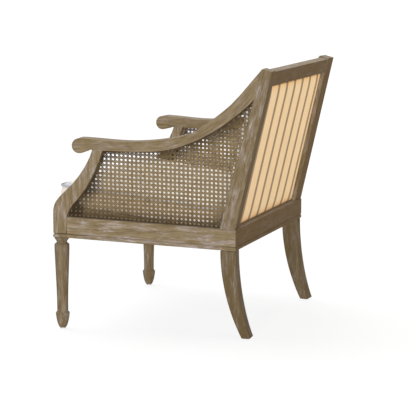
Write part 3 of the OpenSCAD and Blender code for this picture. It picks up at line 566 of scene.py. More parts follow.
def oak_pieces():
    """The oak nodes, each with its kind and the side that it belongs to."""
    return ([(f"{kind}_{side}", kind, sign) for kind in SIDED for side, sign in (("left", 1), ("right", -1))]
            + [(kind, kind, 1) for kind in ACROSS])


def tree_of(names):
    """A search tree over the faces of some CAD nodes."""
    corners, faces = [], []
    for name in names:
        mesh = frame["nodes"][name].data
        start = len(corners)
        corners += [v.co.copy() for v in mesh.vertices]
        faces += [[start + i for i in face.vertices] for face in mesh.polygons]
    return BVHTree.FromPolygons(corners, faces)


def mark_edges(bm, others, limit=math.radians(28)):
    """Weights the sharp edges that are free; those in a joint stay sharp."""
    layer = bm.edges.layers.float.get("bevel_weight_edge") or bm.edges.layers.float.new("bevel_weight_edge")
    for edge in bm.edges:
        if len(edge.link_faces) != 2 or edge.calc_face_angle() < limit:
            continue
        middle = (edge.verts[0].co + edge.verts[1].co) / 2
        if others.find_nearest(middle, JOINT_NEAR)[0] is None:
            edge[layer] = 1.0


def centreline(co):
    """Middle height of an arm at stations along its depth, with the length run up to each."""
    stations = np.arange(co[:, 1].min(), co[:, 1].max(), STATION)
    low, high = [], []
    for y in stations:
        near = co[np.abs(co[:, 1] - y) < STATION * 0.6]
        low.append(near[:, 2].min())
        high.append(near[:, 2].max())
    middle = (np.array(low) + np.array(high)) / 2
    middle = np.convolve(np.pad(middle, 2, mode="edge"), np.ones(5) / 5, mode="valid")
    steps = np.hypot(np.diff(stations), np.diff(middle))
    return stations, middle, np.concatenate([[0], np.cumsum(steps)])


def grain_of(co, kind, sign, number):
    """Coordinates of a piece's grain: along it first, then across its face and through it."""
    local = (np.c_[co, np.ones(len(co))] @ np.array(side_frame(sign).inverted()).T)[:, :3]
    if kind in ACROSS:
        grain = np.c_[co[:, 0], co[:, 2], co[:, 1]]
    elif kind == "arm":
        stations, middle, run = centreline(local)
        rise = np.gradient(middle, stations)
        y, z = local[:, 1], local[:, 2]
        level = 1 / np.sqrt(1 + np.interp(y, stations, rise) ** 2)
        grain = np.c_[np.interp(y, stations, run), (z - np.interp(y, stations, middle)) * level, local[:, 0]]
    elif kind in ("side_rail", "cane_bead"):
        grain = local[:, [1, 2, 0]]
    elif kind == "back_stile":
        up = np.array((0, math.sin(BACK_LEAN), math.cos(BACK_LEAN)))
        out = np.array((0, -math.cos(BACK_LEAN), math.sin(BACK_LEAN)))
        grain = np.c_[local @ up, local @ out, local[:, 0]]
    else:
        grain = local[:, [2, 1, 0]]
    return grain + number * np.array((0.37, 0.071, 0.053))


def foot_of(co, kind):
    """Height above the foot of a rail or a post's block, the darkness of the painted shade in its groove
    there, and nothing.
    """
    tilt = SEAT_TILT if kind == "side_rail" else 0.0
    level = co[:, 1] * math.sin(tilt) + co[:, 2] * math.cos(tilt)
    found = np.zeros((len(co), 3))
    found[:, 0] = level - level.min()
    found[:, 1] = GROOVE_SHADE.get(kind, 0.0)
    return found


class OBJECT_OT_armchair_oak(bpy.types.Operator):
    """Eases the edges of every oak piece and lays its grain"""
    bl_idname = "object.armchair_oak"
    bl_label = "Oak frame"

    def execute(self, context):
        settings = context.scene.armchair_oak
        material = limed_oak(settings)
        for number, (node, kind, sign) in enumerate(oak_pieces()):
            name = f"oak_{node}"
            bm = welded(node, joined=kind != TURNED)
            if kind == TURNED:
                piece = object_of(mesh_from(bm, name), name)
                piece.data.shade_smooth()
                piece.data.set_sharp_from_angle(angle=math.radians(24))
            else:
                piece = even_normals(self.eased(settings, bm, node, kind, name))
            co = points_of(piece.data)
            store_vectors(piece.data, "grain", grain_of(co, kind, sign, number))
            store_vectors(piece.data, "tones", np.tile(TONES.get(kind, PLAIN_TONE), (len(co), 1)))
            store_vectors(piece.data, "foot", foot_of(co, kind))
            dress(piece, material)
            settle(piece, FRAME_BODY, "weathered_oak", node)
        return {"FINISHED"}

    def eased(self, settings, bm, node, kind, name):
        """Rounds the free edges of a sawn piece and leaves those in its joints sharp."""
        if kind == "arm":
            low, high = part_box(node)
            for y in np.arange(low.y + STATION, high.y, STATION):
                bmesh.ops.bisect_plane(bm, geom=bm.verts[:] + bm.edges[:] + bm.faces[:],
                                       plane_co=(0, y, 0), plane_no=(0, 1, 0), dist=1e-6)
        mark_edges(bm, tree_of([other for other in frame["nodes"] if other != node]))
        piece = object_of(mesh_from(bm, name), name)
        bevel = piece.modifiers.new("Ease", "BEVEL")
        bevel.limit_method = "WEIGHT"
        bevel.width = settings.rail_ease if kind in RAILS else settings.ease
        bevel.segments = 3
        bevel.use_clamp_overlap = True
        return baked(piece)


# Cane sides

# A hole of the weave, from which its lattice starts, and the depth of the cane behind the outer face
HOLE_Y = -401.65 * MM
HOLE_Z = 528.3 * MM
CANE_X = -17.2 * MM
# Columns and rows of the lattice, enough to reach past the whole opening
REACH_COLS = 76
REACH_ROWS = 48
# How far the weave reaches into the groove round the opening
GROOVE_DEEP = 3.5 * MM
REED_THICK = 1.5 * MM
# Painted shade beside the front, the foot and the top of the opening, and how far it reaches
RECESS_SHADE = (0.8, 0.85, 0.85)
RECESS_SHADE_WIDE = 42 * MM
# Each side is woven by itself, so its rows start at another share of the pitch
PHASE = {"left": (0.0, 0.0), "right": (-0.3, -0.26)}


def strand(bm, path, width, thick, side):
    """A flat strand swept along a path; side points across its width."""
    section = ((-1, -0.4), (-0.55, 1), (0.55, 1), (1, -0.4))
    rings = []
    for index, point in enumerate(path):
        ahead = path[min(index + 1, len(path) - 1)] - path[max(index - 1, 0)]
        across = side.normalized() * (width / 2)
        up = across.cross(ahead).normalized() * (thick / 2)
        rings.append([bm.verts.new(point + a * across + b * up) for a, b in section])
    for first, second in zip(rings, rings[1:]):
        for i in range(4):
            bm.faces.new((first[i], first[(i + 1) % 4], second[(i + 1) % 4], second[i]))


def cane_cell(settings):
    """One repeat of the weave round a crossing of two pairs: x outwards, y along and z up."""
    bm = bmesh.new()
    half = Vector((0, settings.pitch_along / 2, settings.pitch_up / 2))
    pair, thick = settings.pair_gap / 2, settings.thick
    for sign in (-1, 1):
        rise = thick * 0.55 * sign
        up = [Vector((x, sign * pair, z)) for x, z in ((0, -half.z), (rise, 0), (0, half.z))]
        strand(bm, up, settings.strand, thick, Vector((0, 1, 0)))
        along = [Vector((x, y, sign * pair)) for x, y in ((0, -half.y), (-rise, 0), (0, half.y))]
        strand(bm, along, settings.strand, thick, Vector((0, 0, 1)))
    corners = [Vector((0, y, z)) for y, z in ((half.y, 0), (0, half.z), (-half.y, 0), (0, -half.z))]
    for index, start in enumerate(corners):
        end = corners[(index + 1) % 4]
        over = thick * (1.0 if index % 2 else -1.0)
        middle = (start + end) / 2 + Vector((over * 1.1, 0, 0))
        path = [start + Vector((over, 0, 0)), middle, end + Vector((over, 0, 0))]
        flat = (end - start).cross(Vector((1, 0, 0)))
        strand(bm, path, settings.strand, thick, flat)
    bmesh.ops.recalc_face_normals(bm, faces=bm.faces)
    return object_of(mesh_from(bm, "cane_cell"), "cane_cell")


def chained(edges):
    """Takes one line of joined edges out of a list and gives back its corners in order."""
    chain = list(edges.pop(0).verts)
    while True:
        following = next((edge for edge in chain[-1].link_edges if edge in edges), None)
        if following is None:
            return chain
        edges.remove(following)
        chain.append(following.other_vert(chain[-1]))


def opening_loop(node, sign):
    """The outline of a side's opening, anticlockwise, as points in the plane of the cane."""
    to_side = side_frame(sign).inverted()
    mesh = frame["nodes"][node].data
    co = [to_side @ v.co for v in mesh.vertices]
    face_x = max(c.x for c in co)
    bm = bmesh.new()
    for face in mesh.polygons:
        corners = [co[i] for i in face.vertices]
        if all(abs(c.x - face_x) < 0.05 * MM for c in corners):
            bm.faces.new([bm.verts.new((CANE_X, c.y, c.z)) for c in corners])
    bmesh.ops.remove_doubles(bm, verts=bm.verts, dist=0.01 * MM)
    left = [edge for edge in bm.edges if edge.is_boundary]
    loops = []
    while left:
        loops.append([v.co.copy() for v in chained(left)])
    bm.free()
    outer = max(loops, key=lambda points: max(c.y for c in points) - min(c.y for c in points))[:-1]
    turn = sum(a.cross(b).x for a, b in zip(outer, outer[1:] + outer[:1]))
    return outer if turn > 0 else outer[::-1]


def drawn_in(loop, by, x):
    """An outline drawn in by a distance, at another depth; the loop runs anticlockwise."""
    made = []
    for index, point in enumerate(loop):
        before = (point - loop[index - 1]).normalized()
        after = (loop[(index + 1) % len(loop)] - point).normalized()
        inward = [Vector((0, -way.z, way.y)) for way in (before, after)]
        move = (inward[0] + inward[1]) / max(0.35, 1 + inward[0].dot(inward[1]))
        made.append(Vector((x, point.y, point.z)) + move * by)
    return made


def within(loop, y, z):
    """Which points lie inside an outline."""
    inside = np.zeros(len(y), bool)
    for a, b in zip(loop, loop[1:] + loop[:1]):
        if a.z == b.z:
            continue
        crossed = (a.z > z) != (b.z > z)
        inside ^= crossed & (y < (b.y - a.y) * (z - a.z) / (b.z - a.z) + a.y)
    return inside


def recess_shade_along(co, loop):
    """How much painted shade falls at each point beside the front, the foot and the top of the opening."""
    found = np.zeros((3, len(co)))
    for a, b in zip(loop, loop[1:] + loop[:1]):
        way = np.array((b.y - a.y, b.z - a.z))
        size = np.linalg.norm(way)
        inward = np.array((-way[1], way[0])) / size
        if inward[0] < -0.8:
            continue
        spot = co[:, 1:] - np.array((a.y, a.z))
        run = np.clip(spot @ way / size, 0, size)
        away = np.linalg.norm(spot - run[:, None] * way / size, axis=1)
        side = 2 if inward[1] < -0.5 else int(inward[1] > inward[0])
        found[side] = np.maximum(found[side], RECESS_SHADE[side] * fading(away, RECESS_SHADE_WIDE))
    return np.clip(found.sum(axis=0), 0, 0.95)


def reed_along(bm, loop, width, thick):
    """The flat reed, rounded in front, that holds the edge of the weave in its groove."""
    section = [(0.0, -0.6), (0.0, 0.5), (0.12, 1.0), (0.88, 1.0), (1.0, 0.5), (1.0, -0.6)]
    rings = [[bm.verts.new(p) for p in drawn_in(loop, width * share, CANE_X + thick * rise)]
             for share, rise in section]
    for first, second in zip(rings, rings[1:] + rings[:1]):
        for i in range(len(loop)):
            j = (i + 1) % len(loop)
            bm.faces.new((first[i], first[j], second[j], second[i]))


class TreeMaker:
    """Builds a Geometry Nodes tree with named inputs."""

    def __init__(self, name, inputs):
        self.tree = bpy.data.node_groups.new(name, "GeometryNodeTree")
        face = self.tree.interface
        face.new_socket("Geometry", in_out="INPUT", socket_type="NodeSocketGeometry")
        self.ids = {}
        for label, kind in inputs.items():
            self.ids[label] = face.new_socket(label, in_out="INPUT", socket_type=kind).identifier
        face.new_socket("Geometry", in_out="OUTPUT", socket_type="NodeSocketGeometry")
        self.start = self.tree.nodes.new("NodeGroupInput")
        self.end = self.tree.nodes.new("NodeGroupOutput")

    def given(self, label):
        return self.start.outputs[label]

    def add(self, kind, settings, *values, take=0, **named):
        """Adds a node, sets it up, feeds its sockets and gives back one of its outputs."""
        made = self.tree.nodes.new(kind)
        for key, value in settings.items():
            setattr(made, key, value)
        for index, value in enumerate(values):
            self.put(made.inputs[index], value)
        for key, value in named.items():
            self.put(made.inputs[key.replace("_", " ")], value)
        return made.outputs[take]

    def put(self, socket, value):
        if isinstance(value, bpy.types.NodeSocket):
            self.tree.links.new(value, socket)
        else:
            socket.default_value = value

    def maths(self, operation, *values):
        return self.add("ShaderNodeMath", {"operation": operation}, *values)

    def vectors(self, operation, *values):
        return self.add("ShaderNodeVectorMath", {"operation": operation}, *values)

    def finish(self, geometry, material):
        real = self.add("GeometryNodeRealizeInstances", {}, Geometry=geometry)
        clad = self.add("GeometryNodeSetMaterial", {}, Geometry=real, Material=material)
        self.put(self.end.inputs[0], clad)

    def apply_to(self, obj, values):
        modifier = obj.modifiers.new("Repeat", "NODES")
        modifier.node_group = self.tree
        for label, value in values.items():
            modifier[self.ids[label]] = value
        return baked(obj)


def weave_tree(material):
    """Repeats a cell of cane over the face that it is given, on a lattice that slopes with the seat."""
    make = TreeMaker("cane_weave", {"Cell": "NodeSocketObject", "Pitch Along": "NodeSocketFloat",
                                    "Pitch Up": "NodeSocketFloat", "Slope": "NodeSocketFloat",
                                    "Start": "NodeSocketVector"})
    grid = make.add("GeometryNodeMeshGrid", {}, Size_X=float(REACH_COLS), Size_Y=float(REACH_ROWS),
                    Vertices_X=REACH_COLS + 1, Vertices_Y=REACH_ROWS + 1)
    spot = make.add("GeometryNodeInputPosition", {})
    col, row, _ = make.add("ShaderNodeSeparateXYZ", {}, spot).node.outputs
    y = make.maths("MULTIPLY", col, make.given("Pitch Along"))
    drop = make.maths("MULTIPLY", y, make.given("Slope"))
    z = make.maths("SUBTRACT", make.maths("MULTIPLY", row, make.given("Pitch Up")), drop)
    place = make.add("ShaderNodeCombineXYZ", {}, Y=y, Z=z)
    place = make.vectors("ADD", place, make.given("Start"))
    laid = make.add("GeometryNodeSetPosition", {}, Geometry=grid, Position=place)
    outside = make.vectors("ADD", make.add("GeometryNodeInputPosition", {}), (1.0, 0.0, 0.0))
    hit = make.add("GeometryNodeRaycast", {}, take="Is Hit", Target_Geometry=make.given("Geometry"),
                   Source_Position=outside, Ray_Direction=(-1.0, 0.0, 0.0), Ray_Length=2.0)
    cells = make.add("GeometryNodeObjectInfo", {}, take="Geometry", Object=make.given("Cell"))
    placed = make.add("GeometryNodeInstanceOnPoints", {}, Points=laid, Instance=cells, Selection=hit)
    make.finish(placed, material)
    return make


class OBJECT_OT_armchair_cane(bpy.types.Operator):
    """Weaves the cane of both sides"""
    bl_idname = "object.armchair_cane"
    bl_label = "Cane sides"

    def execute(self, context):
        settings = context.scene.armchair_cane
        material = woven_cane(settings)
        cell = cane_cell(settings)
        make = weave_tree(material)
        for side, sign in (("left", 1), ("right", -1)):
            node = f"cane_panel_{side}"
            loop = opening_loop(node, sign)
            panel = self.woven(settings, make, cell, f"woven_{node}", loop, PHASE[side])
            self.trimmed(settings, panel.data, loop)
            # Painted shade beside the edges of the opening, kept in an attribute
            pooled = recess_shade_along(points_of(panel.data), loop)
            store_vectors(panel.data, "pooled", np.c_[pooled, pooled, pooled])
            panel.data.transform(side_frame(sign))
            if sign < 0:
                panel.data.flip_normals()
            dress(panel, material)
            settle(panel, FRAME_BODY, "cane", node)
        bpy.data.objects.remove(cell)
        return {"FINISHED"}

    def woven(self, settings, make, cell, name, loop, phase):
        """Weaves a piece of cane that reaches past an opening on all sides."""
        along, up, slope = settings.pitch_along, settings.pitch_up, math.tan(SEAT_TILT)
        bm = bmesh.new()
        bm.faces.new([bm.verts.new(p) for p in drawn_in(loop, -along * 0.7, CANE_X)])
        panel = object_of(mesh_from(bm, name), name)
        start = Vector((CANE_X, HOLE_Y + along / 2, HOLE_Z + up / 2 - slope * along / 2))
        shift = Vector((0, phase[0] * along, phase[1] * up))
        return make.apply_to(panel, {"Cell": cell, "Pitch Along": along, "Pitch Up": up,
                                     "Slope": slope, "Start": start + shift})

    def trimmed(self, settings, mesh, loop):
        """Cuts the weave off in the groove and lays the reed over its ends."""
        bm = bmesh.new()
        bm.from_mesh(mesh)
        middles = np.array([face.calc_center_median() for face in bm.faces])
        kept = within(drawn_in(loop, -GROOVE_DEEP, CANE_X), middles[:, 1], middles[:, 2])
        cut = [face for face, keep in zip(bm.faces[:], kept) if not keep]
        bmesh.ops.delete(bm, geom=cut, context="FACES")
        reed_along(bm, loop, settings.reed, REED_THICK)
        bmesh.ops.recalc_face_normals(bm, faces=bm.faces)
        bm.to_mesh(mesh)
        bm.free()


# Padded pieces

# Heights of the cushion's two welts above its foot, and of the inner back's welt before its rear face
WELTS_UP = (4 * MM, 56 * MM)
WELT_OUT = 12 * MM
WELT_STEP = 4 * MM
# The band over the upper welt is full up to this height and fades out at twice it
BAND_UP = 7 * MM
# The border's tint comes in over this height under the upper welt
BORDER_FADE = 3 * MM
# How far the inner back's welt stands past its seam at both sides
WELT_PAST = 2.5 * MM
# How far the cushion's sides stay inside the outer faces of the frame
ARM_CLEAR = 50.5 * MM
# Waves that are added up for a soft unevenness
WAVES = 7


def slice_loop(node, normal, level):
    """The closed line round a solid at a level along a normal, as a list of points in order."""
    bm = welded(node, joined=False)
    cut = bmesh.ops.bisect_plane(bm, geom=bm.verts[:] + bm.edges[:] + bm.faces[:], dist=1e-7,
                                 plane_co=normal * level, plane_no=normal)["geom_cut"]
    found = [v.co.copy() for v in chained([e for e in cut if isinstance(e, bmesh.types.BMEdge)])]
    bm.free()
    return found[:-1] if (found[0] - found[-1]).length < 1e-6 else found


def even_loop(points, step):
    """The same closed line with its points a given step apart."""
    closed = np.array([list(p) for p in points] + [list(points[0])])
    run = np.concatenate([[0], np.cumsum(np.linalg.norm(np.diff(closed, axis=0), axis=1))])
    count = max(8, int(round(run[-1] / step)))
    at = np.arange(count) * run[-1] / count
    return np.c_[[np.interp(at, run, closed[:, k]) for k in range(3)]].T


def piping(name, loop, diameter, material, body):
    """A round welt sewn along a closed line."""
    line = bpy.data.curves.new(name, "CURVE")
    line.dimensions = "3D"
    spline = line.splines.new("POLY")
    spline.points.add(len(loop) - 1)
    for point, co in zip(spline.points, loop):
        point.co = (*co, 1)
    spline.use_cyclic_u = True
    line.bevel_depth = diameter / 2
    line.bevel_resolution = 3
    line.use_fill_caps = False
    welt = dress(baked(object_of(line, name)), material)
    welt.data.shade_smooth()
    settle(welt, body, "ivory_linen")


def voxel_form(node, name, voxel, shrink):
    """A remeshed copy of a soft solid, drawn in a little towards its middle."""
    low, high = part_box(node)
    centre = np.array((low + high) / 2)
    form = object_of(mesh_from(welded(node, joined=False), name), name)
    set_points(form.data, centre + (points_of(form.data) - centre) * shrink)
    remesh = form.modifiers.new("Net", "REMESH")
    remesh.mode = "VOXEL"
    remesh.voxel_size = voxel
    return baked(form)


def filled(form, held, pressure, cap, frames=20):
    """Fills a form by cloth simulation; held gives how firmly each point stays, from 0 to 1."""
    before = points_of(form.data)
    group = form.vertex_groups.new(name="held")
    for index, weight in enumerate(held):
        if weight > 0:
            group.add([index], float(weight), "REPLACE")
    cloth = form.modifiers.new("Fill", "CLOTH")
    cloth.settings.quality = 5
    cloth.settings.mass = 0.3
    cloth.settings.use_pressure = True
    cloth.settings.uniform_pressure_force = pressure
    cloth.settings.effector_weights.gravity = 0
    cloth.settings.vertex_group_mass = "held"
    cloth.point_cache.frame_start = 1
    cloth.point_cache.frame_end = frames
    for number in range(1, frames + 1):
        bpy.context.scene.frame_set(number)
    depsgraph = bpy.context.evaluated_depsgraph_get()
    after = points_of(form.evaluated_get(depsgraph).data)
    form.modifiers.clear()
    form.vertex_groups.clear()
    bpy.context.scene.frame_set(1)
    move = after - before
    far = np.linalg.norm(move, axis=1, keepdims=True)
    set_points(form.data, before + move * np.minimum(1, cap / np.maximum(far, 1e-9)))


def relaxed(form, times):
    """Smooths a form a little, some times over."""
    bm = bmesh.new()
    bm.from_mesh(form.data)
    for _ in range(times):
        bmesh.ops.smooth_vert(bm, verts=bm.verts, factor=0.5,
                              use_axis_x=True, use_axis_y=True, use_axis_z=True)
    bm.to_mesh(form.data)
    bm.free()


def vertex_normals(mesh):
    out = np.zeros(len(mesh.vertices) * 3)
    mesh.vertex_normals.foreach_get("vector", out)
    return out.reshape(-1, 3)


def soft_waves(co, seed, pitch):
    """A smooth, repeatable unevenness between -1 and 1."""
    rng = np.random.default_rng(seed)
    total = np.zeros(len(co))
    for _ in range(WAVES):
        way = rng.normal(size=3)
        way *= math.tau / pitch / np.linalg.norm(way) * rng.uniform(0.6, 1.5)
        total += np.sin(co @ way + rng.uniform(0, math.tau))
    return total / WAVES ** 0.5 / 1.5


def puckered(form, loops, height, fade, pitch, dimple):
    """Draws the cloth into small gathers beside its welts and gives it a sat-on unevenness."""
    co, normals = points_of(form.data), vertex_normals(form.data)
    lift = soft_waves(co, 11, 0.11) * dimple
    for number, loop in enumerate(loops):
        tree = KDTree(len(loop))
        for index, point in enumerate(loop):
            tree.insert(point, index)
        tree.balance()
        step = np.linalg.norm(loop[1] - loop[0])
        found = [tree.find(p) for p in co]
        run = np.array([f[1] for f in found]) * step
        away = np.array([f[2] for f in found])
        vary = soft_waves(co, 23 + number, 0.09)
        gathers = np.sin(run * math.tau / pitch + vary * 2.2)
        lift += height * np.exp(-away / fade) * gathers * (0.65 + 0.35 * vary)
        lift -= 1.2 * height * np.exp(-((away / (0.5 * fade)) ** 2))
    set_points(form.data, co + normals * lift[:, None])


def subdivided(form):
    smooth = form.modifiers.new("Smooth", "SUBSURF")
    smooth.levels = 1
    smooth.render_levels = 1
    made = baked(form)
    made.data.shade_smooth()
    return made


def kept_between_arms(form):
    """Holds the cushion's sides clear of the arms, so that it can be lifted out."""
    co = points_of(form.data)
    for sign in (1, -1):
        place = side_frame(sign)
        local = np.c_[co, np.ones(len(co))] @ np.array(place.inverted()).T
        local[:, 0] = np.minimum(local[:, 0], -ARM_CLEAR)
        co = (local @ np.array(place).T)[:, :3]
    set_points(form.data, co)


def plumped(form, seams, up, reach):
    """Rounds the front of the border between its two seams."""
    co, normals = points_of(form.data), vertex_normals(form.data)
    share = np.clip((co @ up - seams[0]) / (seams[1] - seams[0]), 0, 1)
    front = np.clip(-normals[:, 1], 0, 1) ** 2
    set_points(form.data, co + normals * (reach * np.sin(share * math.pi) * front)[:, None])


class OBJECT_OT_armchair_cushion(bpy.types.Operator):
    """Fills the loose seat cushion and sews its welts"""
    bl_idname = "object.armchair_cushion"
    bl_label = "Seat cushion"

    def execute(self, context):
        settings = context.scene.armchair_linen
        node = "seat_cushion"
        up = np.array(CUSHION_UP)
        base = (points_of(frame["nodes"][node].data) @ up).min()
        seams = [base + rise for rise in WELTS_UP]
        loops = [even_loop(slice_loop(node, CUSHION_UP, seam), WELT_STEP) for seam in seams]
        form = voxel_form(node, "cushion_seat", settings.voxel, (0.99, 0.99, 0.985))
        level = points_of(form.data) @ up
        held = fading(np.min([np.abs(level - seam) for seam in seams], axis=0), reach=7 * MM)
        held[level < seams[0]] = 1
        filled(form, held, pressure=4.0, cap=9 * MM)
        relaxed(form, 2)
        plumped(form, seams, up, reach=5 * MM)
        puckered(form, loops, height=0.9 * MM, fade=12 * MM, pitch=26 * MM, dimple=1.6 * MM)
        kept_between_arms(form)
        form = subdivided(form)
        level = points_of(form.data) @ up - seams[1]
        lower = np.clip(-level / BORDER_FADE, 0, 1)
        band = np.clip(2 - level / BAND_UP, 0, 1)
        store_vectors(form.data, "zone", np.c_[lower, band, band])
        dress(form, ivory_linen(settings))
        settle(form, CUSHION_BODY, "ivory_linen", node)
        trims = (welt_linen("border_welt", settings.border), welt_linen("welt_linen", settings.welt_blue))
        for name, loop, trim in zip(("welt_lower", "welt_upper"), loops, trims):
            piping(name, loop, settings.welt, trim, CUSHION_BODY)
        return {"FINISHED"}


class OBJECT_OT_armchair_back_pad(bpy.types.Operator):
    """Fills the inner back and sews the welt along its edge"""
    bl_idname = "object.armchair_back_pad"
    bl_label = "Inner back"

    def execute(self, context):
        settings = context.scene.armchair_linen
        node = "inner_back_pad"
        out = np.array(BACK_OUT)
        seam = (points_of(frame["nodes"][node].data) @ out).min() + WELT_OUT
        loop = even_loop(slice_loop(node, BACK_OUT, seam), WELT_STEP)
        form = voxel_form(node, "pad_inner_back", settings.voxel, (0.99, 0.985, 0.99))
        held = fading(points_of(form.data) @ out - seam, reach=8 * MM)
        filled(form, held, pressure=4.0, cap=11 * MM)
        relaxed(form, 2)
        puckered(form, [loop], height=0.8 * MM, fade=14 * MM, pitch=30 * MM, dimple=1.8 * MM)
        form = subdivided(form)
        dress(form, bpy.data.materials["ivory_linen"])
        settle(form, FRAME_BODY, "ivory_linen", node)
        middle = loop.mean(axis=0)
        spread = loop - middle
        across = spread[:, 0] * (1 + WELT_PAST / np.abs(spread[:, 0]).max())
        wide = np.c_[across, spread[:, 1:]] + middle
        piping("welt_inner_back", wide, settings.welt * 1.3, bpy.data.materials["welt_linen"], FRAME_BODY)
        return {"FINISHED"}


# Outer back

COVER_ROWS = 64
COVER_COLS = 84
COVER_THICK = 0.9 * MM
# How far the linen reaches past its solid at the foot
COVER_FOOT = 1.5 * MM
# Width and depth of the padding's fall to the rim, and of the tuck right beside the wood
CROWN_WIDE, CROWN_DEEP = 45 * MM, 2.6 * MM
TUCK_WIDE, TUCK_DEEP = 3 * MM, MM


def cover_face(low, high, halves, rear):
    """The cover's outer face, and for each point its place on the cloth and its way to the rim."""
    up, out = np.array(BACK_UP), np.array(BACK_OUT)
    bm = bmesh.new()
    grid, flat = [], []
    for r in range(COVER_ROWS + 1):
        t = r / COVER_ROWS
        s = low - COVER_FOOT + (high - low + COVER_FOOT) * t
        half = halves[0] * (1 - t) + halves[1] * t
        line = []
        for c in range(COVER_COLS + 1):
            u = 2 * c / COVER_COLS - 1
            x = half * u
            edge = min(half - abs(x), s - low + COVER_FOOT, high - s)
            tuck = max(0.0, 1 - edge / TUCK_WIDE) ** 2
            crown = 1 - max(0.0, 1 - edge / CROWN_WIDE) ** 2
            out_by = rear + CROWN_DEEP - CROWN_DEEP * crown + tuck * TUCK_DEEP
            line.append(bm.verts.new(np.array((x, 0, 0)) + up * s + out * out_by))
            flat.append((x, s - low, edge))
        grid.append(line)
    for below, above in zip(grid, grid[1:]):
        for c in range(COVER_COLS):
            bm.faces.new((below[c], below[c + 1], above[c + 1], above[c]))
    bm.normal_update()
    if sum((f.normal for f in bm.faces), Vector()).y < 0:
        bmesh.ops.reverse_faces(bm, faces=bm.faces)
    return bm, flat


class OBJECT_OT_armchair_outer_back(bpy.types.Operator):
    """Stretches the striped linen over the board of the outer back"""
    bl_idname = "object.armchair_outer_back"
    bl_label = "Outer back"

    def execute(self, context):
        settings = context.scene.armchair_linen
        node, name = "outer_back_cover", "cover_outer_back"
        co = points_of(frame["nodes"][node].data)
        run = co @ np.array(BACK_UP)
        low, high = run.min(), run.max()
        halves = [np.abs(co[np.abs(run - level) < MM][:, 0]).max() for level in (low, high)]
        bm, flat = cover_face(low, high, halves, (co @ np.array(BACK_OUT)).min())
        piece = object_of(mesh_from(bm, name), name)
        store_vectors(piece.data, "cloth", flat)
        thick = piece.modifiers.new("Thickness", "SOLIDIFY")
        thick.thickness = COVER_THICK
        thick.offset = -1
        piece = baked(piece)
        piece.data.shade_smooth()
        dress(piece, striped_linen(settings))
        settle(piece, FRAME_BODY, "striped_linen", node)
        return {"FINISHED"}


# Under the seat

class OBJECT_OT_armchair_under_seat(bpy.types.Operator):
    """Covers the deck and dresses the webbing and the bottom cloth"""
    bl_idname = "object.armchair_under_seat"
    bl_label = "Deck and webbing"

    def execute(self, context):
        bm = welded("seat_deck")
        bmesh.ops.bevel(bm, geom=bm.edges[:], offset=4 * MM, segments=3, affect="EDGES", profile=0.5)
        deck = even_normals(object_of(mesh_from(bm, "deck_cover"), "deck_cover"))
        # Painted shade in part: a neutral lining, made darker to stand for the shade under the cushion
        dress(deck, plain_cloth("deck_lining", (colour(142, 132, 116), colour(104, 95, 82)),
                                gloss=0.12, threads=800.0, rough=0.82, depth=0.3 * MM))
        settle(deck, FRAME_BODY, "ivory_linen", "seat_deck")
        cloth = object_of(mesh_from(welded("dust_cover"), "bottom_cloth"), "bottom_cloth")
        dress(cloth, plain_cloth("bottom_cloth", (colour(34, 34, 35), colour(58, 57, 56)),
                                 gloss=0.15, threads=700.0, rough=0.85, depth=0.2 * MM))
        settle(cloth, FRAME_BODY, "black_cambric", "dust_cover")
        strap = jute()
        for node in ("seat_webbing", "back_webbing"):
            dress(frame["nodes"][node], strap)
        return {"FINISHED"}


class OBJECT_OT_armchair_hardware(bpy.types.Operator):
    """Gives the inner wood and the fastenings their finishes"""
    bl_idname = "object.armchair_hardware"
    bl_label = "Inner wood and fastenings"

    def execute(self, context):
        finishes = {"hidden_wood": plain_wood(), "steel": zinc()}
        for part in frame["record"]["subparts"]:
            if part["material_slot"] in finishes:
                dress(frame["nodes"][part["node"]], finishes[part["material_slot"]])
        return {"FINISHED"}


# Stage

# The camera's place, the way it looks, its lens and its sensor's width in millimetres
EYE = Vector((5.07443, 1.828051, 1.15833))
LOOK = Vector((-0.93138, -0.33073, -0.15212))
LENS = 152.36
SENSOR = 36.0
# Light that falls square on the left side and 26 degrees down comes through one hole of the
# cane onto the place of the cushion's side that the camera sees through the hole below it
KEY_FROM = Vector((1, 0.007, math.tan(math.radians(26))))


def lamp(name, direction, strength, angle):
    """A broad sun that shines from a direction."""
    data = bpy.data.lights.new(name, "SUN")
    data.energy = strength
    data.angle = math.radians(angle)
    made = object_of(data, name)
    made.rotation_mode = "QUATERNION"
    made.rotation_quaternion = Vector(direction).to_track_quat("Z", "Y")
    return made


def seen_white(tree):
    """1 for rays of the camera, reflections and glass, 0 for the rest."""
    path = tree.nodes.new("ShaderNodeLightPath")
    total = None
    for ray in ("Is Camera Ray", "Is Glossy Ray", "Is Transmission Ray"):
        if total is None:
            total = path.outputs[ray]
            continue
        both = tree.nodes.new("ShaderNodeMath")
        both.operation = "MAXIMUM"
        tree.links.new(total, both.inputs[0])
        tree.links.new(path.outputs[ray], both.inputs[1])
        total = both.outputs[0]
    return total


def shown_apart(tree, plain, seen, out):
    """Shows one shader to the camera, reflections and glass, and the plain one to all other rays."""
    pick = tree.nodes.new("ShaderNodeMixShader")
    for socket, value in zip(pick.inputs, (seen_white(tree), plain, seen)):
        tree.links.new(value, socket)
    tree.links.new(pick.outputs[0], out.inputs[0])


def studio_world(scene, sky):
    """Even light from all round, with plain white behind the chair."""
    scene.world = bpy.data.worlds.new("studio")
    scene.world.use_nodes = True
    tree = scene.world.node_tree
    tree.nodes.clear()
    out = tree.nodes.new("ShaderNodeOutputWorld")
    lights = []
    for level in (sky, 1):
        light = tree.nodes.new("ShaderNodeBackground")
        light.inputs["Color"].default_value = (1, 1, 1, 1)
        light.inputs["Strength"].default_value = level
        lights.append(light.outputs[0])
    shown_apart(tree, *lights, out)


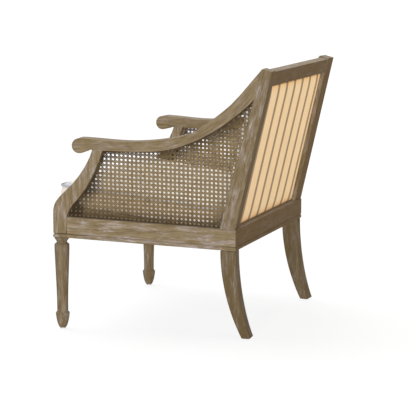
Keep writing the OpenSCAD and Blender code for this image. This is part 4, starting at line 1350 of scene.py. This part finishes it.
def pale_floor():
    """A wide floor that looks near white and throws light back as a pale surface does."""
    bm = bmesh.new()
    bmesh.ops.create_circle(bm, cap_ends=True, segments=96, radius=60)
    floor = object_of(mesh_from(bm, "floor"), "floor")
    pale = Finish("pale_floor", Base_Color=(0.86, 0.86, 0.85, 1), Roughness=0.9, Specular_IOR_Level=0.1)
    glow = pale.node("ShaderNodeEmission", {}, Strength=0.84)
    dull = pale.node("ShaderNodeBsdfDiffuse", {}, Color=(0.2, 0.2, 0.2, 1))
    lit = pale.node("ShaderNodeAddShader", {}, dull, glow)
    shown_apart(pale.tree, pale.shader.outputs[0], lit.socket, pale.tree.nodes["Material Output"])
    return dress(floor, pale.material)


def camera_of(scene):
    """The camera, which looks from behind at the chair's left side."""
    camera = object_of(bpy.data.cameras.new("camera"), "camera")
    camera.location = EYE
    camera.rotation_mode = "QUATERNION"
    camera.rotation_quaternion = LOOK.to_track_quat("-Z", "Y")
    camera.data.lens = LENS
    camera.data.sensor_width = SENSOR
    camera.data.clip_end = 200
    scene.camera = camera


class OBJECT_OT_armchair_stage(bpy.types.Operator):
    """Lays the pale floor and sets the light and the camera"""
    bl_idname = "object.armchair_stage"
    bl_label = "Stage"

    def execute(self, context):
        settings = context.scene.armchair_stage
        context.scene.view_settings.view_transform = "Standard"
        studio_world(context.scene, settings.sky)
        pale_floor()
        lamp("key_lamp", KEY_FROM, settings.key, 4)
        lamp("eye_lamp", -LOOK, settings.eye, 3)
        lamp("rear_lamp", (0.1, 0.9, 0.35), settings.rear, 50)
        lamp("front_lamp", (-0.3, -0.5, 0.9), settings.front, 50)
        camera_of(context.scene)
        return {"FINISHED"}


class VIEW3D_PT_armchair(bpy.types.Panel):
    """Lists the steps that dress the armchair"""
    bl_label = "Armchair"
    bl_idname = "VIEW3D_PT_armchair"
    bl_space_type = "VIEW_3D"
    bl_region_type = "UI"
    bl_category = "Armchair"

    def draw(self, context):
        for step in STEPS:
            self.layout.operator(step.bl_idname)
        for name in SETTINGS:
            settings = getattr(context.scene, name)
            for key in settings.bl_rna.properties.keys():
                if key not in ("rna_type", "name"):
                    self.layout.prop(settings, key)


SETTINGS = {
    "armchair_oak": OakSettings,
    "armchair_cane": CaneSettings,
    "armchair_linen": LinenSettings,
    "armchair_stage": StageSettings,
}
STEPS = (
    OBJECT_OT_armchair_oak,
    OBJECT_OT_armchair_cane,
    OBJECT_OT_armchair_cushion,
    OBJECT_OT_armchair_back_pad,
    OBJECT_OT_armchair_outer_back,
    OBJECT_OT_armchair_under_seat,
    OBJECT_OT_armchair_hardware,
    OBJECT_OT_armchair_stage,
)


def register():
    for item in (*SETTINGS.values(), *STEPS, VIEW3D_PT_armchair):
        bpy.utils.register_class(item)
    for name, kind in SETTINGS.items():
        setattr(bpy.types.Scene, name, PointerProperty(type=kind))


def unregister():
    for name in SETTINGS:
        delattr(bpy.types.Scene, name)
    for item in (VIEW3D_PT_armchair, *reversed(STEPS), *SETTINGS.values()):
        bpy.utils.unregister_class(item)


def main():
    register()
    bpy.ops.object.armchair_oak()
    bpy.ops.object.armchair_cane()
    bpy.ops.object.armchair_cushion()
    bpy.ops.object.armchair_back_pad()
    bpy.ops.object.armchair_outer_back()
    bpy.ops.object.armchair_under_seat()
    bpy.ops.object.armchair_hardware()
    bpy.ops.object.armchair_stage()


if __name__ == "__main__":
    main()
